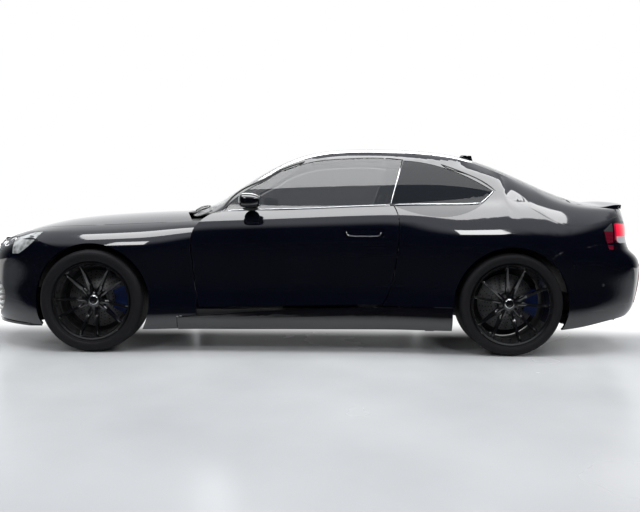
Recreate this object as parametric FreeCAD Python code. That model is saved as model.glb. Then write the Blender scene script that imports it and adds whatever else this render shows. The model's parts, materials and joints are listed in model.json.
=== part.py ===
"""A two-door sports coupe: panels, glass, lamps, cabin, running gear and wheels, in millimetres.

The nose points along -X, the left side along -Y and +Z is up. The origin is on the ground,
at the middle of the overall length and width.
"""

import FreeCAD, Part
import math
import os

vec = FreeCAD.Vector

# Overall sizes
front_overhang = 858.0
wheelbase = 2747.0
rear_overhang = 975.0
roof_height = 1403.0
door_half_width = 889.0
front_track = 1617.0
rear_track = 1605.0
front_tyre_radius = 337.5
rear_tyre_radius = 339.5
front_tyre_width = 262.0
rear_tyre_width = 270.0
front_rim_radius = 254.0
rear_rim_radius = 267.0
arch_gap = 40.5
half_length = (front_overhang + wheelbase + rear_overhang) / 2
front_axle_x = front_overhang - half_length
rear_axle_x = front_axle_x + wheelbase
front_axle_z = front_tyre_radius
rear_axle_z = rear_tyre_radius
arch_radius = front_tyre_radius + arch_gap

# Shares of the half length, the door's half width and the roof height stand for places on the car.
# The axles and the top of the wheel arch keep their own shares when one of the sizes above changes.
front_axle_share = -0.62533
rear_axle_share = 0.574236
arch_top_share = 0.509979
x_anchors = [(-1, -half_length), (front_axle_share, front_axle_x), (rear_axle_share, rear_axle_x), (1, half_length)]
z_anchors = [(0, 0), (arch_top_share, front_axle_z + arch_radius), (1, roof_height)]


def between(share, anchors):
    for (a, start), (b, end) in zip(anchors, anchors[1:]):
        if share < b:
            break
    return start + (end - start) * (share - a) / (b - a)


def along(share):
    return between(share, x_anchors)


def across(share):
    return door_half_width * share


def up(share):
    return between(share, z_anchors)


# Side shape: the flank's offset from the door's half width, over the height
side_depth = 100.0
side_profile_shares = [
    (0.085, -0.52), (0.107, -0.34), (0.1425, -0.12), (0.214, -0.06), (0.299, -0.16), (0.399, -0.10),
    (0.475, -0.02), (0.530, 0.0), (0.578, -0.05), (0.612, -0.18), (0.642, -0.42), (0.672, -0.82),
    (0.705, -1.50), (0.745, -2.50), (0.785, -3.60), (0.85, -5.6),
]
belt_share = 0.67712
belt_slope = 0.040
belt_lift_share = 0.39914
belt_lift_run = 300.0
glass_inset = 86.0
glass_bow = 34.0
glass_bow_share = 0.15284
glass_bow_run = 1000.0
glass_lean = 0.45
glass_radius = 1250.0
belt_blend = 12.0
belt_fade_start = 95.0
belt_fade_run = 65.0

# Flares over the wheels
front_flare = 56.0
rear_flare = 54.0
flare_flat = 260.0
front_flare_run = 480.0
rear_flare_lead = 620.0
rear_flare_trail = 560.0
flare_top_share = 0.52032
front_flare_fade = 170.0
rear_flare_fade = 230.0

# Nose and tail: how far each height stands back from the end, over the height
end_depth = 100.0
nose_shares = [
    (0.085, 0.90), (0.1425, 0.38), (0.228, 0.07), (0.321, 0.0), (0.399, 0.05), (0.463, 0.30),
    (0.502, 0.90), (0.524, 1.42), (0.5545, 2.40), (0.593, 3.85),
]
tail_shares = [
    (0.107, 1.00), (0.171, 0.45), (0.242, 0.15), (0.342, 0.0), (0.4205, 0.04), (0.463, 0.26),
    (0.492, 0.66), (0.527, 0.84), (0.570, 0.87), (0.627, 0.80), (0.677, 0.74), (0.720, 0.78),
]
nose_power = 4.5
tail_power_shares = [
    (0.107, 4.6), (0.164, 5.4), (0.214, 6.3), (0.30, 6.9), (0.463, 7.0), (0.50, 6.6), (0.54, 6.1), (0.59, 5.7),
    (0.64, 4.9), (0.68, 4.3), (0.72, 3.9),
]
nose_taper_share = -0.30568
tail_taper_share = 0.30568

# Centreline heights, as shares of the half length and the roof height
hood_line_shares = [
    (-1.02, 0.43), (-0.987, 0.467), (-0.961, 0.5025), (-0.937, 0.524), (-0.895, 0.5545), (-0.832, 0.593),
    (-0.721, 0.626), (-0.5855, 0.645), (-0.4585, 0.657), (-0.393, 0.661), (-0.306, 0.665), (-0.20, 0.668),
]
roof_line_shares = [
    (-0.50, 0.557), (-0.415, 0.625), (-0.317, 0.704), (-0.214, 0.812), (-0.111, 0.911), (-0.008, 0.972),
    (0.095, 0.995), (0.197, 1.0), (0.300, 0.997), (0.4375, 0.977), (0.541, 0.938), (0.643, 0.876),
    (0.746, 0.802), (0.815, 0.757), (0.883, 0.729), (0.961, 0.7155), (1.03, 0.706),
]
crown_half_width = 700.0
hood_crown_shares = [(-1.0, 0.020), (-0.90, 0.050), (-0.75, 0.086), (-0.45, 0.100), (-0.25, 0.09)]
roof_crown_shares = [(-0.45, 0.020), (-0.20, 0.045), (0.05, 0.105), (0.45, 0.110), (0.75, 0.060), (1.0, 0.045)]
roof_sweep_shares = [(-0.45, -0.165), (-0.20, -0.16), (0.05, -0.12), (0.25, 0.0), (0.50, 0.24), (0.75, 0.30), (1.0, 0.30)]
roof_round_shares = [(-0.45, 0.055), (-0.10, 0.065), (0.30, 0.10), (0.55, 0.16), (0.82, 0.12), (0.92, 0.045)]
hood_crown_power = 2.2
front_round_shares = [
    (-0.93, 0.030), (-0.85, 0.035), (-0.79, 0.060), (-0.72, 0.12), (-0.6255, 0.15), (-0.40, 0.13), (-0.30, 0.10),
]


class Curve:
    """A natural cubic spline through (place, value) shares, taken to real sizes."""

    def __init__(self, shares, place, value):
        self.at = [place(a) for a, b in shares]
        self.values = [value(b) for a, b in shares]
        n = len(shares)
        step = [self.at[i + 1] - self.at[i] for i in range(n - 1)]
        slope = [(self.values[i + 1] - self.values[i]) / step[i] for i in range(n - 1)]
        main, bend = [1.0] * n, [0.0] * n
        upper = [0.0] * n
        for i in range(1, n - 1):
            upper[i] = step[i]
            main[i] = 2 * (step[i - 1] + step[i])
            bend[i] = 6 * (slope[i] - slope[i - 1])
            if i > 1:
                ratio = step[i - 1] / main[i - 1]
                main[i] -= ratio * upper[i - 1]
                bend[i] -= ratio * bend[i - 1]
        self.bend = [0.0] * n
        for i in range(n - 2, 0, -1):
            self.bend[i] = (bend[i] - upper[i] * self.bend[i + 1]) / main[i]
        self.step, self.slope = step, slope

    def __call__(self, place):
        at, values, bend = self.at, self.values, self.bend
        if place <= at[0]:
            return values[0] + (self.slope[0] - self.step[0] * bend[1] / 6) * (place - at[0])
        if place >= at[-1]:
            return values[-1] + (self.slope[-1] + self.step[-1] * bend[-2] / 6) * (place - at[-1])
        i = max(k for k in range(len(at) - 1) if place > at[k])
        h = self.step[i]
        a, b = (at[i + 1] - place) / h, (place - at[i]) / h
        cubic = ((a**3 - a) * bend[i] + (b**3 - b) * bend[i + 1]) * h * h / 6
        return a * values[i] + b * values[i + 1] + cubic


def times(size):
    return lambda share: size * share


side_profile = Curve(side_profile_shares, up, times(side_depth))
nose_set_back = Curve(nose_shares, up, times(end_depth))
tail_set_back = Curve(tail_shares, up, times(end_depth))
tail_power = Curve(tail_power_shares, up, times(1))
hood_line = Curve(hood_line_shares, along, up)
roof_line = Curve(roof_line_shares, along, up)
hood_crown = Curve(hood_crown_shares, along, times(crown_half_width))
roof_crown = Curve(roof_crown_shares, along, times(crown_half_width))
roof_sweep = Curve(roof_sweep_shares, along, times(crown_half_width))
roof_round = Curve(roof_round_shares, along, times(crown_half_width))
front_round = Curve(front_round_shares, along, times(crown_half_width))


def smooth(t):
    """0 below 0 and 1 above 1, with a level start and end."""
    t = min(1.0, max(0.0, t))
    return t * t * t * (t * (6 * t - 15) + 10)


def plateau(x, middle, flat, lead, trail):
    """1 within flat of the middle, and down to 0 over lead ahead of it and trail behind it."""
    away = abs(x - middle) - flat
    return 1 - smooth(away / (lead if x < middle else trail))


def belt(x):
    """Height of the bottom edge of the side glass."""
    return up(belt_share) + belt_slope * x


def glass_side(x, z):
    """Half width of the side glass and of the pillars round it."""
    rise = z - belt(x)
    bow = glass_bow * ((x - along(glass_bow_share)) / glass_bow_run) ** 2
    return door_half_width - glass_inset - bow - glass_lean * rise - rise * abs(rise) / (2 * glass_radius)


def nose_x(z):
    return nose_set_back(z) - half_length


def tail_x(z):
    return half_length - tail_set_back(z)


def end_share(x, z):
    """How far the plan has drawn in at x: 1 along the flanks and 0 at the nose or tail."""
    start, end, power = along(nose_taper_share), nose_x(z), nose_power
    if x > start:
        start, end, power = along(tail_taper_share), tail_x(z), tail_power(z)
        if x < start:
            return 1.0
    t = (x - start) / (end - start)
    return max(0.0, 1 - t**power) ** (1 / power)


def flank(x, z):
    """Half width of the body side, with its flares and the glass above, before the ends draw in."""
    lift = belt_slope * x * smooth((z - up(belt_lift_share)) / belt_lift_run)
    lower = door_half_width + side_profile(z - lift)
    front = plateau(x, front_axle_x, flare_flat, front_flare_run, front_flare_run)
    rear = plateau(x, rear_axle_x, flare_flat, rear_flare_lead, rear_flare_trail)
    lower += front_flare * front * (1 - smooth((z - up(flare_top_share)) / front_flare_fade))
    lower += rear_flare * rear * (1 - smooth((z - up(flare_top_share)) / rear_flare_fade))
    weight = smooth((z - belt(x) + belt_fade_start) / belt_fade_run)
    if weight == 0:
        return lower
    upper = glass_side(x, z)
    gap = (lower - upper) / belt_blend
    joined = upper + belt_blend * (gap if gap > 30 else math.log1p(math.exp(gap)))
    return lower + weight * (joined - lower)


def side(x, z):
    """Half width of the finished body at this place."""
    return flank(x, z) * end_share(x, z)


def hood_top(x, y):
    return hood_line(x) - hood_crown(x) * (abs(y) / crown_half_width) ** hood_crown_power


def roof_top(x, y):
    share = (y / crown_half_width) ** 2
    return roof_line(x + roof_sweep(x) * share) - roof_crown(x) * share


# Sampling of the shapes
low_steps = 7
belt_steps = 9
high_steps = 5
belt_below = 100.0
belt_above = 60.0
above_share = 0.75
round_steps = 6
top_steps = 9
top_columns = 13
station_gap = 115.0

# Wall thicknesses and gaps
skin = 22.0
fender_skin = 12.0
bumper_skin = 24.0
roof_skin = 32.0
frame_depth = 18.0
lid_skin = 26.0
door_skin = 32.0
door_depth = 95.0
door_lip = 30.0
glass_thickness = 5.0
glass_recess = 3.0
seat_reach = 110.0
seat_gap = 0.6
moving_gap = 6.5
panel_gap = 3.5
lid_gap = 6.5
fixed_gap = 0.3
shut_gap = 0.5
reach = 2 * half_length
sliver = (4 * panel_gap) ** 3
sill_bottom = up(0.1083)
bumper_bottom = up(0.1219)
tail_bottom = up(0.1212)
focus_share = 0.36
cabin_focus = vec(0, 0, up(focus_share))


def side_view(shares):
    return [(along(a), up(b)) for a, b in shares]


def plan_view(shares):
    return [(along(a), across(b)) for a, b in shares]


def end_view(shares):
    return [(across(a), up(b)) for a, b in shares]


def grow(points, gap):
    """The closed outline moved outward by gap, with sharp corners."""
    n = len(points)
    area = sum(points[i][0] * points[(i + 1) % n][1] - points[(i + 1) % n][0] * points[i][1] for i in range(n))
    turn = 1 if area > 0 else -1
    moved = []
    for i in range(n):
        (a, b), (c, d), (e, f) = points[i - 1], points[i], points[(i + 1) % n]
        u = math.hypot(c - a, d - b)
        v = math.hypot(e - c, f - d)
        n1 = ((d - b) / u, -(c - a) / u)
        n2 = ((f - d) / v, -(e - c) / v)
        opening = 1 + n1[0] * n2[0] + n1[1] * n2[1]
        shift = turn * gap / max(opening, 0.4)
        moved.append((c + shift * (n1[0] + n2[0]), d + shift * (n1[1] + n2[1])))
    return moved


def rounded(runs, gap=0.0):
    """Closed outline from runs of places: each run is a smooth curve that ends where the next starts."""
    flat = [p for run in runs for p in run]
    if gap:
        flat = grow(flat, gap)
    out, k = [], 0
    for run in runs:
        out.append(flat[k:k + len(run)] + [flat[(k + len(run)) % len(flat)]])
        k += len(run)
    return out


def prism(runs, axis, start, end):
    """A solid from an outline in the side ('y'), end ('x') or plan ('z') view, between two places."""
    place = {
        "y": lambda p: vec(p[0], start, p[1]),
        "x": lambda p: vec(start, p[0], p[1]),
        "z": lambda p: vec(p[0], p[1], start),
    }[axis]
    way = {"y": vec(0, 1, 0), "x": vec(1, 0, 0), "z": vec(0, 0, 1)}[axis]
    edges = []
    for run in runs:
        points = [place(p) for p in run]
        if len(points) == 2:
            edges.append(Part.makeLine(points[0], points[1]))
        else:
            curve = Part.BSplineCurve()
            curve.interpolate(points)
            edges.append(curve.toShape())
    return Part.Face(Part.Wire(edges)).extrude(way * (end - start))


def straight(points):
    """Runs of one place each, for an outline with straight edges."""
    return [[p] for p in points]


def block(x0, x1, y0, y1, z0, z1):
    return Part.makeBox(x1 - x0, y1 - y0, z1 - z0, vec(x0, y0, z0))


def box(shares, base=None):
    """A block from its spans in shares along, across and up; base is the height of what it stands on."""
    (a, b), (c, d), (e, f) = shares
    low = up(e) if base is None else base
    return block(along(a), along(b), across(c), across(d), low, up(f))


def mirror(shape):
    return shape.mirror(vec(0, 0, 0), vec(0, 1, 0))


def both(shapes):
    """The left side's pieces and their mirror images."""
    return list(shapes) + [mirror(s) for s in shapes]


def spread(start, end, count):
    return [start + (end - start) * i / (count - 1) for i in range(count)]


def section(x, top, radius, z_low):
    """The left half of the body across x: up the side, round the shoulder and over to the middle."""
    low, high = 0.4 * roof_height, 1.1 * roof_height
    for _ in range(40):
        z = (low + high) / 2
        low, high = (z, high) if z < top(x, side(x, z)) else (low, z)
    y = side(x, z)
    end = z - radius
    under = min(belt(x) - belt_below, end - belt_below)
    above = min(belt(x) + belt_above, under + above_share * (end - under))
    heights = spread(z_low, under, low_steps) + spread(under, above, belt_steps)[1:] + spread(above, end, high_steps)[1:]
    points = [(side(x, h), h) for h in heights]
    low = points[-1]
    high = (y - radius, top(x, y - radius))
    for t in spread(0, 1, round_steps)[1:-1]:
        a, b, c = (1 - t) ** 2, 2 * t * (1 - t), t * t
        points.append((a * low[0] + b * y + c * high[0], a * low[1] + b * z + c * high[1]))
    points += [(w, top(x, w)) for w in spread(y - radius, 0, top_steps)]
    return [vec(x, -w, h) for w, h in points]


def normals(rows):
    """The unit normal of the grid at each of its points."""
    out = []
    for i, row in enumerate(rows):
        line = []
        for j, p in enumerate(row):
            onward = rows[min(i + 1, len(rows) - 1)][j] - rows[max(i - 1, 0)][j]
            sideways = row[min(j + 1, len(row) - 1)] - row[max(j - 1, 0)]
            line.append(onward.cross(sideways).normalize())
        out.append(line)
    return out


def pressed(rows, depth):
    """The grid moved square to itself by depth, towards the inside of the car."""
    ways = normals(rows)
    i, j = len(rows) // 2, len(rows[0]) // 2
    turn = 1 if ways[i][j].dot(cabin_focus - rows[i][j]) > 0 else -1
    return [[p + w * (turn * depth) for p, w in zip(row, line)] for row, line in zip(rows, ways)]


def surface(rows):
    made = Part.BSplineSurface()
    made.interpolate(rows)
    return made.toShape()


def slab(rows, outer_depth, inner_depth):
    """A solid between the grid pressed in by outer_depth and by inner_depth."""
    outer = surface(pressed(rows, outer_depth) if outer_depth else rows)
    inner = surface(pressed(rows, inner_depth))
    faces = [outer, inner] + [Part.makeRuledSurface(a, b) for a, b in zip(outer.Edges, inner.Edges)]
    shell = Part.makeShell(faces)
    shell.sewShape()
    solid = Part.makeSolid(shell)
    if solid.Volume < 0:
        solid.reverse()
    return solid


def seated(shape, rows, depth):
    """The shape cut off just inside a panel of this depth, made from the same grid."""
    return shape.cut(slab(rows, -seat_reach, depth + seat_gap))


def stations(shares):
    """Places along the car between two shares, evenly apart."""
    start, end = along(shares[0]), along(shares[1])
    return spread(start, end, max(3, round((end - start) / station_gap)))


def heights(shares, count):
    return spread(up(shares[0]), up(shares[1]), count)


def side_rows(x_shares, z_shares, count):
    """A grid over the left side between two places and two heights."""
    return [[vec(x, -side(x, z), z) for z in heights(z_shares, count)] for x in stations(x_shares)]


def front_rows(x_shares, z_low):
    return [section(x, hood_top, front_round(x), z_low) for x in stations(x_shares)]


def cabin_rows(x_shares, z_low):
    return [section(x, roof_top, roof_round(x), z_low) for x in stations(x_shares)]


def top_rows(top, x_shares, y_share):
    """A grid over the bonnet or roof, out to y_share of the door's half width on both sides."""
    half = across(y_share)
    return [[vec(x, y, top(x, y)) for y in spread(-half, half, top_columns)] for x in stations(x_shares)]


def wrap(z, w, taper_share, end, power):
    """A place on the nose or tail at this height, w of the way from the middle to the flank."""
    start = along(taper_share)
    x = start + (1 - abs(w) ** power) ** (1 / power) * (end(z) - start)
    return vec(x, w * flank(x, z), z)


def nose_at(z, w):
    return wrap(z, w, nose_taper_share, nose_x, nose_power)


def tail_at(z, w):
    return wrap(z, w, tail_taper_share, tail_x, tail_power(z))


wrap_shares = [0.0, 0.15, 0.30, 0.44, 0.56, 0.66, 0.74, 0.81, 0.86, 0.90, 0.93, 0.95, 0.967, 0.98, 0.99]
wrap_shares = [-w for w in reversed(wrap_shares[1:])] + wrap_shares


def ring_rows(at, w_shares, low, high, steps):
    """A grid round the nose or tail between two heights, which may vary with the share of the width."""
    grid = []
    for v in spread(0, 1, steps):
        grid.append([at(low(w) + v * (high(w) - low(w)), w) for w in w_shares])
    return grid


def level(z):
    return lambda w: z


def meeting(at, top, low_share, high_share, w):
    """The height at which the nose or tail meets the surface above it."""
    low, high = up(low_share), up(high_share)
    for _ in range(40):
        z = (low + high) / 2
        p = at(z, w)
        low, high = (z, high) if z < top(p.x, p.y) else (low, z)
    return z


def round_at(x, z, radius, y0, y1):
    """A cylinder across the car at this axle."""
    return Part.makeCylinder(radius, y1 - y0, vec(x, y0, z), vec(0, 1, 0))


def through(runs, gap=0.0):
    """An outline in the side view cut through the left side."""
    return prism(rounded(runs, gap), "y", -reach, 0)


def lift(runs, gap=0.0):
    """An outline in the plan view, cut up through the top of the car."""
    return prism(rounded(runs, gap), "z", up(lift_share), reach)


def trimmed(shape, tools):
    for tool in tools:
        shape = shape.cut(tool)
    return shape


def plan_runs(front, flank_line, rear):
    """A plan outline that is the same on both sides, from half of it.

    The front edge runs from the middle to a corner, the rear one from a corner to the middle.
    """
    front, flank_line, rear = plan_view(front), plan_view(flank_line), plan_view(rear)
    other = lambda run: [(a, -b) for a, b in reversed(run)]
    return [
        other(front)[:-1] + front[:-1], front[-1:] + flank_line,
        rear + other(rear)[1:-1], other(rear)[-1:] + other(flank_line),
    ]


lift_share = 0.4
nodes = {}


def keep(name, shapes):
    """Store one node's solids; booleans may leave slivers, which are dropped."""
    solids = [s for shape in shapes for s in shape.Solids if s.Volume > sliver]
    nodes[name] = solids[0] if len(solids) == 1 else Part.makeCompound(solids)


# Side view outlines of the left side. Each row of an outline is one smooth edge.
door_shares = [
    [
        (-0.2904, 0.65), (-0.3179, 0.6187), (-0.3341, 0.5845), (-0.341, 0.5453), (-0.3426, 0.5082),
        (-0.3402, 0.449), (-0.3367, 0.3949), (-0.3314, 0.3207), (-0.3266, 0.2637),
    ],
    [(-0.321, 0.2138), (-0.131, 0.221), (0.0437, 0.2274)],
    [
        (0.2061, 0.2338), (0.2262, 0.3008), (0.2406, 0.4048), (0.2498, 0.5189), (0.2515, 0.5916),
        (0.2489, 0.6415),
    ],
    [(0.2371, 0.6964), (0.131, 0.6885), (0, 0.6771), (-0.1424, 0.6686), (-0.2515, 0.6622)],
]
glass_shares = [
    [(-0.2515, 0.6622), (-0.2271, 0.7156), (-0.2026, 0.7512), (-0.1703, 0.7819)],
    [
        (-0.1328, 0.8111), (-0.0886, 0.8553), (-0.0301, 0.8917), (0.0288, 0.9123), (0.1013, 0.9223),
        (0.1803, 0.928),
    ],
    [(0.269, 0.9195)],
    [(0.2275, 0.6971)],
    [(0.2371, 0.6964), (0.131, 0.6885), (0, 0.6771), (-0.1424, 0.6686)],
]
quarter_shares = [
    [(0.2319, 0.7014), (0.2524, 0.8111)],
    [(0.2734, 0.9187), (0.3249, 0.9102), (0.3891, 0.886), (0.452, 0.8468), (0.5118, 0.794)],
    [(0.5349, 0.7698), (0.4934, 0.7085)],
]
seam_front_shares = [
    (-0.8079, 0.5331), (-0.7755, 0.5167), (-0.7502, 0.4932), (-0.7162, 0.4669), (-0.6812, 0.4277),
]
seam_rear_shares = [
    (0.6812, 0.4562), (0.7114, 0.4911), (0.7686, 0.5089), (0.8218, 0.5253), (0.8777, 0.536),
]
skirt_line_shares = [
    (-0.3777, 0.1689), (-0.1965, 0.1917), (0.0258, 0.2117), (0.1528, 0.2181), (0.2459, 0.2217),
]
door_runs = [side_view(run) for run in door_shares]
glass_runs = [side_view(run) for run in glass_shares[:4]] + [side_view(glass_shares[4])[1:]]
quarter_runs = [side_view(run) for run in quarter_shares]
seam_front = side_view(seam_front_shares)
seam_rear = side_view(seam_rear_shares)
front_arch = round_at(front_axle_x, front_axle_z, arch_radius, -reach, 0)
rear_arch = round_at(rear_axle_x, rear_axle_z, arch_radius, -reach, 0)
door_cut = through(door_runs, moving_gap)

# Lamps: their lower and upper edges, as (share of the half width, height)
lamp_low_shares = [
    (0.58, 0.4633), (0.66, 0.4519), (0.72, 0.4462), (0.765, 0.4476), (0.8, 0.4604), (0.83, 0.4847),
    (0.852, 0.5239),
]
lamp_top_shares = [
    (0.58, 0.4989), (0.66, 0.5075), (0.72, 0.5146), (0.765, 0.5225), (0.8, 0.5324), (0.83, 0.5431),
    (0.866, 0.5581),
]
tail_lamp_low_shares = [
    (0.53, 0.5032), (0.61, 0.5018), (0.69, 0.5018), (0.76, 0.5025), (0.82, 0.5046), (0.865, 0.5146),
    (0.9, 0.5417),
]
tail_lamp_top_shares = [
    (0.53, 0.6001), (0.61, 0.6073), (0.69, 0.613), (0.76, 0.6187), (0.82, 0.623), (0.865, 0.6244),
    (0.9, 0.5916),
]
lens_depth = 5.0
tail_lens_depth = 30.0
lamp_depth = 50.0
lamp_cut_rise = 12.0
lamp_cut_depth = 62.0
lamp_wall = 5.0
lamp_ease = 3.0
lamp_air = 1.2


def lamp_rows(at, low_shares, high_shares, gap=0.0):
    """The grid of a lamp's lens, moved outward all round by gap."""
    widen = gap / door_half_width
    grid = []
    for v in spread(0, 1, 5):
        row = []
        for k, ((w0, z0), (w1, z1)) in enumerate(zip(low_shares, high_shares)):
            end = -1 if k == 0 else 1 if k == len(low_shares) - 1 else 0
            w = w0 + v * (w1 - w0) + end * widen
            low, high = up(z0) - gap, up(z1) + gap
            p = at(low + v * (high - low), w)
            row.append(vec(p.x, -p.y, p.z))
        grid.append(row)
    return grid


def front_lamp(gap):
    return lamp_rows(nose_at, lamp_low_shares, lamp_top_shares, gap)


def tail_lamp(gap):
    return lamp_rows(tail_at, tail_lamp_low_shares, tail_lamp_top_shares, gap)


front_lamp_cut = slab(front_lamp(fixed_gap), -lamp_cut_rise, lamp_cut_depth)
tail_lamp_cut = slab(tail_lamp(fixed_gap), -lamp_cut_rise, lamp_cut_depth)

# Bonnet
hood_front_shares = [
    (-0.962, 0), (-0.9616, 0.225), (-0.9581, 0.4049), (-0.952, 0.4949), (-0.9415, 0.5489),
]
hood_side_shares = [
    (-0.9266, 0.6029), (-0.9118, 0.6412), (-0.8908, 0.6659), (-0.8515, 0.6952), (-0.8052, 0.7233),
    (-0.7424, 0.7559), (-0.683, 0.775), (-0.5677, 0.7942), (-0.4624, 0.8054), (-0.3943, 0.8031),
]
hood_rear_shares = [
    (-0.3559, 0.784), (-0.3668, 0.6749), (-0.39, 0.4499), (-0.4061, 0.225), (-0.4127, 0),
]
hood_span_shares = (-0.975, -0.33)
hood_wide_share = 0.83
hood_runs = plan_runs(hood_front_shares, hood_side_shares, hood_rear_shares)
bonnet = slab(top_rows(hood_top, hood_span_shares, hood_wide_share), 0, skin)
keep("bonnet", [bonnet.common(lift(hood_runs))])
hood_cut = lift(hood_runs, lid_gap)

# Front fender, open above the cabin's edge and cut round the wheel, door, bonnet, lamp and skirt
fender_span_shares = (-0.925, -0.25)
fender_shares = [
    (-0.6812, 0.4277), (-0.6253, 0.3564), (-0.6253, 0.0713), (-0.3297, 0.0713), (-0.3297, 0.2138),
    (-0.2952, 0.645), (-0.3013, 0.67), (-0.3493, 0.7128), (-0.9223, 0.7128), (-0.9223, 0.4989),
]
fender_inside_shares = [(-0.44017, 0), (-0.78965, 0), (0, 1.28297)]
skirt_shares = [
    [(-0.3825, 0.1682), (-0.1965, 0.1917), (0.0258, 0.2117), (0.1528, 0.2181), (0.2459, 0.2217)],
    [(0.4061, 0.2252), (0.4061, 0.1148), (-0.3825, 0.1041)],
]
skirt_runs = [side_view(skirt_shares[0])] + straight(side_view(skirt_shares[1]))
fender_rows = front_rows(fender_span_shares, sill_bottom)
fender = slab(fender_rows, 0, fender_skin)
fender = fender.common(through([seam_front[:-1]] + straight(side_view(fender_shares))))
fender = trimmed(fender, [front_arch, door_cut, hood_cut, front_lamp_cut, box(fender_inside_shares), through(skirt_runs, panel_gap)])
keep("fender_left", [fender])

# Front bumper
crest_shares = (0.45, 0.58)
crest_level_share = 0.5
bumper_shares = [
    (-0.6812, 0.0713), (-1.048, 0.0713), (-1.048, 0.6415), (-0.9236, 0.6415), (-0.9236, 0.4989),
]


def crest(w):
    """Where the nose meets the bonnet's surface; it stays level across the middle."""
    return meeting(nose_at, hood_top, crest_shares[0], crest_shares[1], max(abs(w), crest_level_share))


nose_rows = ring_rows(nose_at, wrap_shares, level(bumper_bottom), crest, 13)
nose_runs = [seam_front] + straight(side_view(bumper_shares))
nose = slab(nose_rows, 0, bumper_skin)
nose = nose.common(prism(rounded(nose_runs, -panel_gap / 2), "y", -reach, reach))
nose = trimmed(nose, both([front_arch, front_lamp_cut]) + [hood_cut])

# Rear bumper
tail_top_share = 0.545
tail_trim_shares = [
    (1.048, 0.536), (1.048, 0.181), (0.9376, 0.1725), (0.8646, 0.1561), (0.786, 0.1354),
    (0.7249, 0.1226), (0.6812, 0.1169),
]
tail_end_shares = [0.995, 0.998]
tail_wrap_shares = [-w for w in reversed(tail_end_shares)] + wrap_shares + tail_end_shares
tail_rows = ring_rows(tail_at, tail_wrap_shares, level(tail_bottom), level(up(tail_top_share)), 12)
tail_runs = [seam_rear] + straight(side_view(tail_trim_shares))
tail = slab(tail_rows, 0, bumper_skin)
tail = tail.common(prism(rounded(tail_runs, -panel_gap / 2), "y", -reach, reach))
tail = trimmed(tail, both([rear_arch, tail_lamp_cut]))

# Door, with its inner part set in from the edge all round, and the glass over it
door_x_shares = (-0.37, 0.28)
door_z_shares = (0.19, 0.72)
door_rows = side_rows(door_x_shares, door_z_shares, 22)
door_inner = slab(door_rows, door_skin, door_depth).common(through(door_runs, -door_lip))
handle_x_shares = (0.0925, 0.2070)
handle_z_shares = (0.5500, 0.5880)
handle_depth = 16.0
handle_gap = 4.0
handle_zone = block(along(handle_x_shares[0]), along(handle_x_shares[1]), -reach, 0, up(handle_z_shares[0]), up(handle_z_shares[1]))
door_outer = slab(door_rows, 0, door_skin).common(through(door_runs))
pocket = slab(door_rows, -lamp_cut_rise, handle_depth).common(handle_zone)
grip = slab(door_rows, 0, handle_depth + handle_gap).common(block(
    along(handle_x_shares[0]) + handle_gap, along(handle_x_shares[1]) - handle_gap, -reach, 0,
    up(handle_z_shares[0]) + 2 * handle_gap, up(handle_z_shares[1]) - handle_gap))
keep("door_left", [door_outer.cut(pocket).fuse([door_inner, grip])])

glass_x_shares = (-0.30, 0.56)
glass_z_shares = (0.645, 0.935)
side_glass = slab(side_rows(glass_x_shares, glass_z_shares, 14), glass_recess, glass_recess + glass_thickness)
keep("door_glass_left", [side_glass.common(through(glass_runs)).cut(through(door_runs, fixed_gap))])
keep("quarter_glass", [side_glass.common(through(quarter_runs)).cut(door_cut)])

# Side frame round the windows, the screens and roof within it
frame_span_shares = (-0.31, 0.91)
frame_low_share = 0.2
screen_front_shares = [
    (-0.3952, 0), (-0.39, 0.225), (-0.3742, 0.4499), (-0.345, 0.6749), (-0.3253, 0.7469),
]
screen_side_shares = [(-0.2445, 0.7154), (-0.1572, 0.6749)]
screen_rear_shares = [(-0.0917, 0.6299), (-0.0699, 0.5287), (-0.0533, 0.3375), (-0.0463, 0)]
roof_front_shares = [(-0.0459, 0), (-0.0528, 0.3375), (-0.0694, 0.5287), (-0.0856, 0.613)]
roof_side_shares = [(0, 0.6164), (0.1747, 0.6209), (0.3493, 0.613), (0.4148, 0.604)]
roof_rear_shares = [(0.441, 0.5962), (0.4629, 0.3375), (0.4694, 0)]
back_front_shares = [(0.4699, 0), (0.4633, 0.3375), (0.4415, 0.5962)]
back_side_shares = [(0.524, 0.613), (0.655, 0.6299)]
back_rear_shares = [(0.7686, 0.6198), (0.7812, 0.5838), (0.7978, 0.3375), (0.8031, 0)]
screen_runs = plan_runs(screen_front_shares, screen_side_shares, screen_rear_shares)
roof_runs = plan_runs(roof_front_shares, roof_side_shares, roof_rear_shares)
back_runs = plan_runs(back_front_shares, back_side_shares, back_rear_shares)
frame_shares = [
    (-0.2917, 0.6529), (-0.2987, 0.6842), (-0.393, 0.784), (-0.393, 1.0691), (1.0044, 1.0691),
    (1.0044, 0.2352), (0.2052, 0.2267), (0.2052, 0.6529),
]
frame_tail_shares = [(1.048, 0.536), (1.048, 0.0713), (0.6253, 0.0713)]
frame_inside_shares = [(-1, 1.74672), (-0.58999, 3.37458), (0, 2.13828)]
frame_rows = cabin_rows(frame_span_shares, up(frame_low_share))
frame = slab(frame_rows, 0, frame_depth)
frame = trimmed(frame, [
    door_cut, through(glass_runs, moving_gap), through(quarter_runs, fixed_gap), rear_arch,
    lift(screen_runs, fixed_gap), lift(roof_runs, fixed_gap), lift(back_runs, fixed_gap),
    through([seam_rear] + straight(side_view(frame_tail_shares))), tail_lamp_cut, box(frame_inside_shares),
])
frame = frame.common(through(straight(side_view(frame_shares))))

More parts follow.
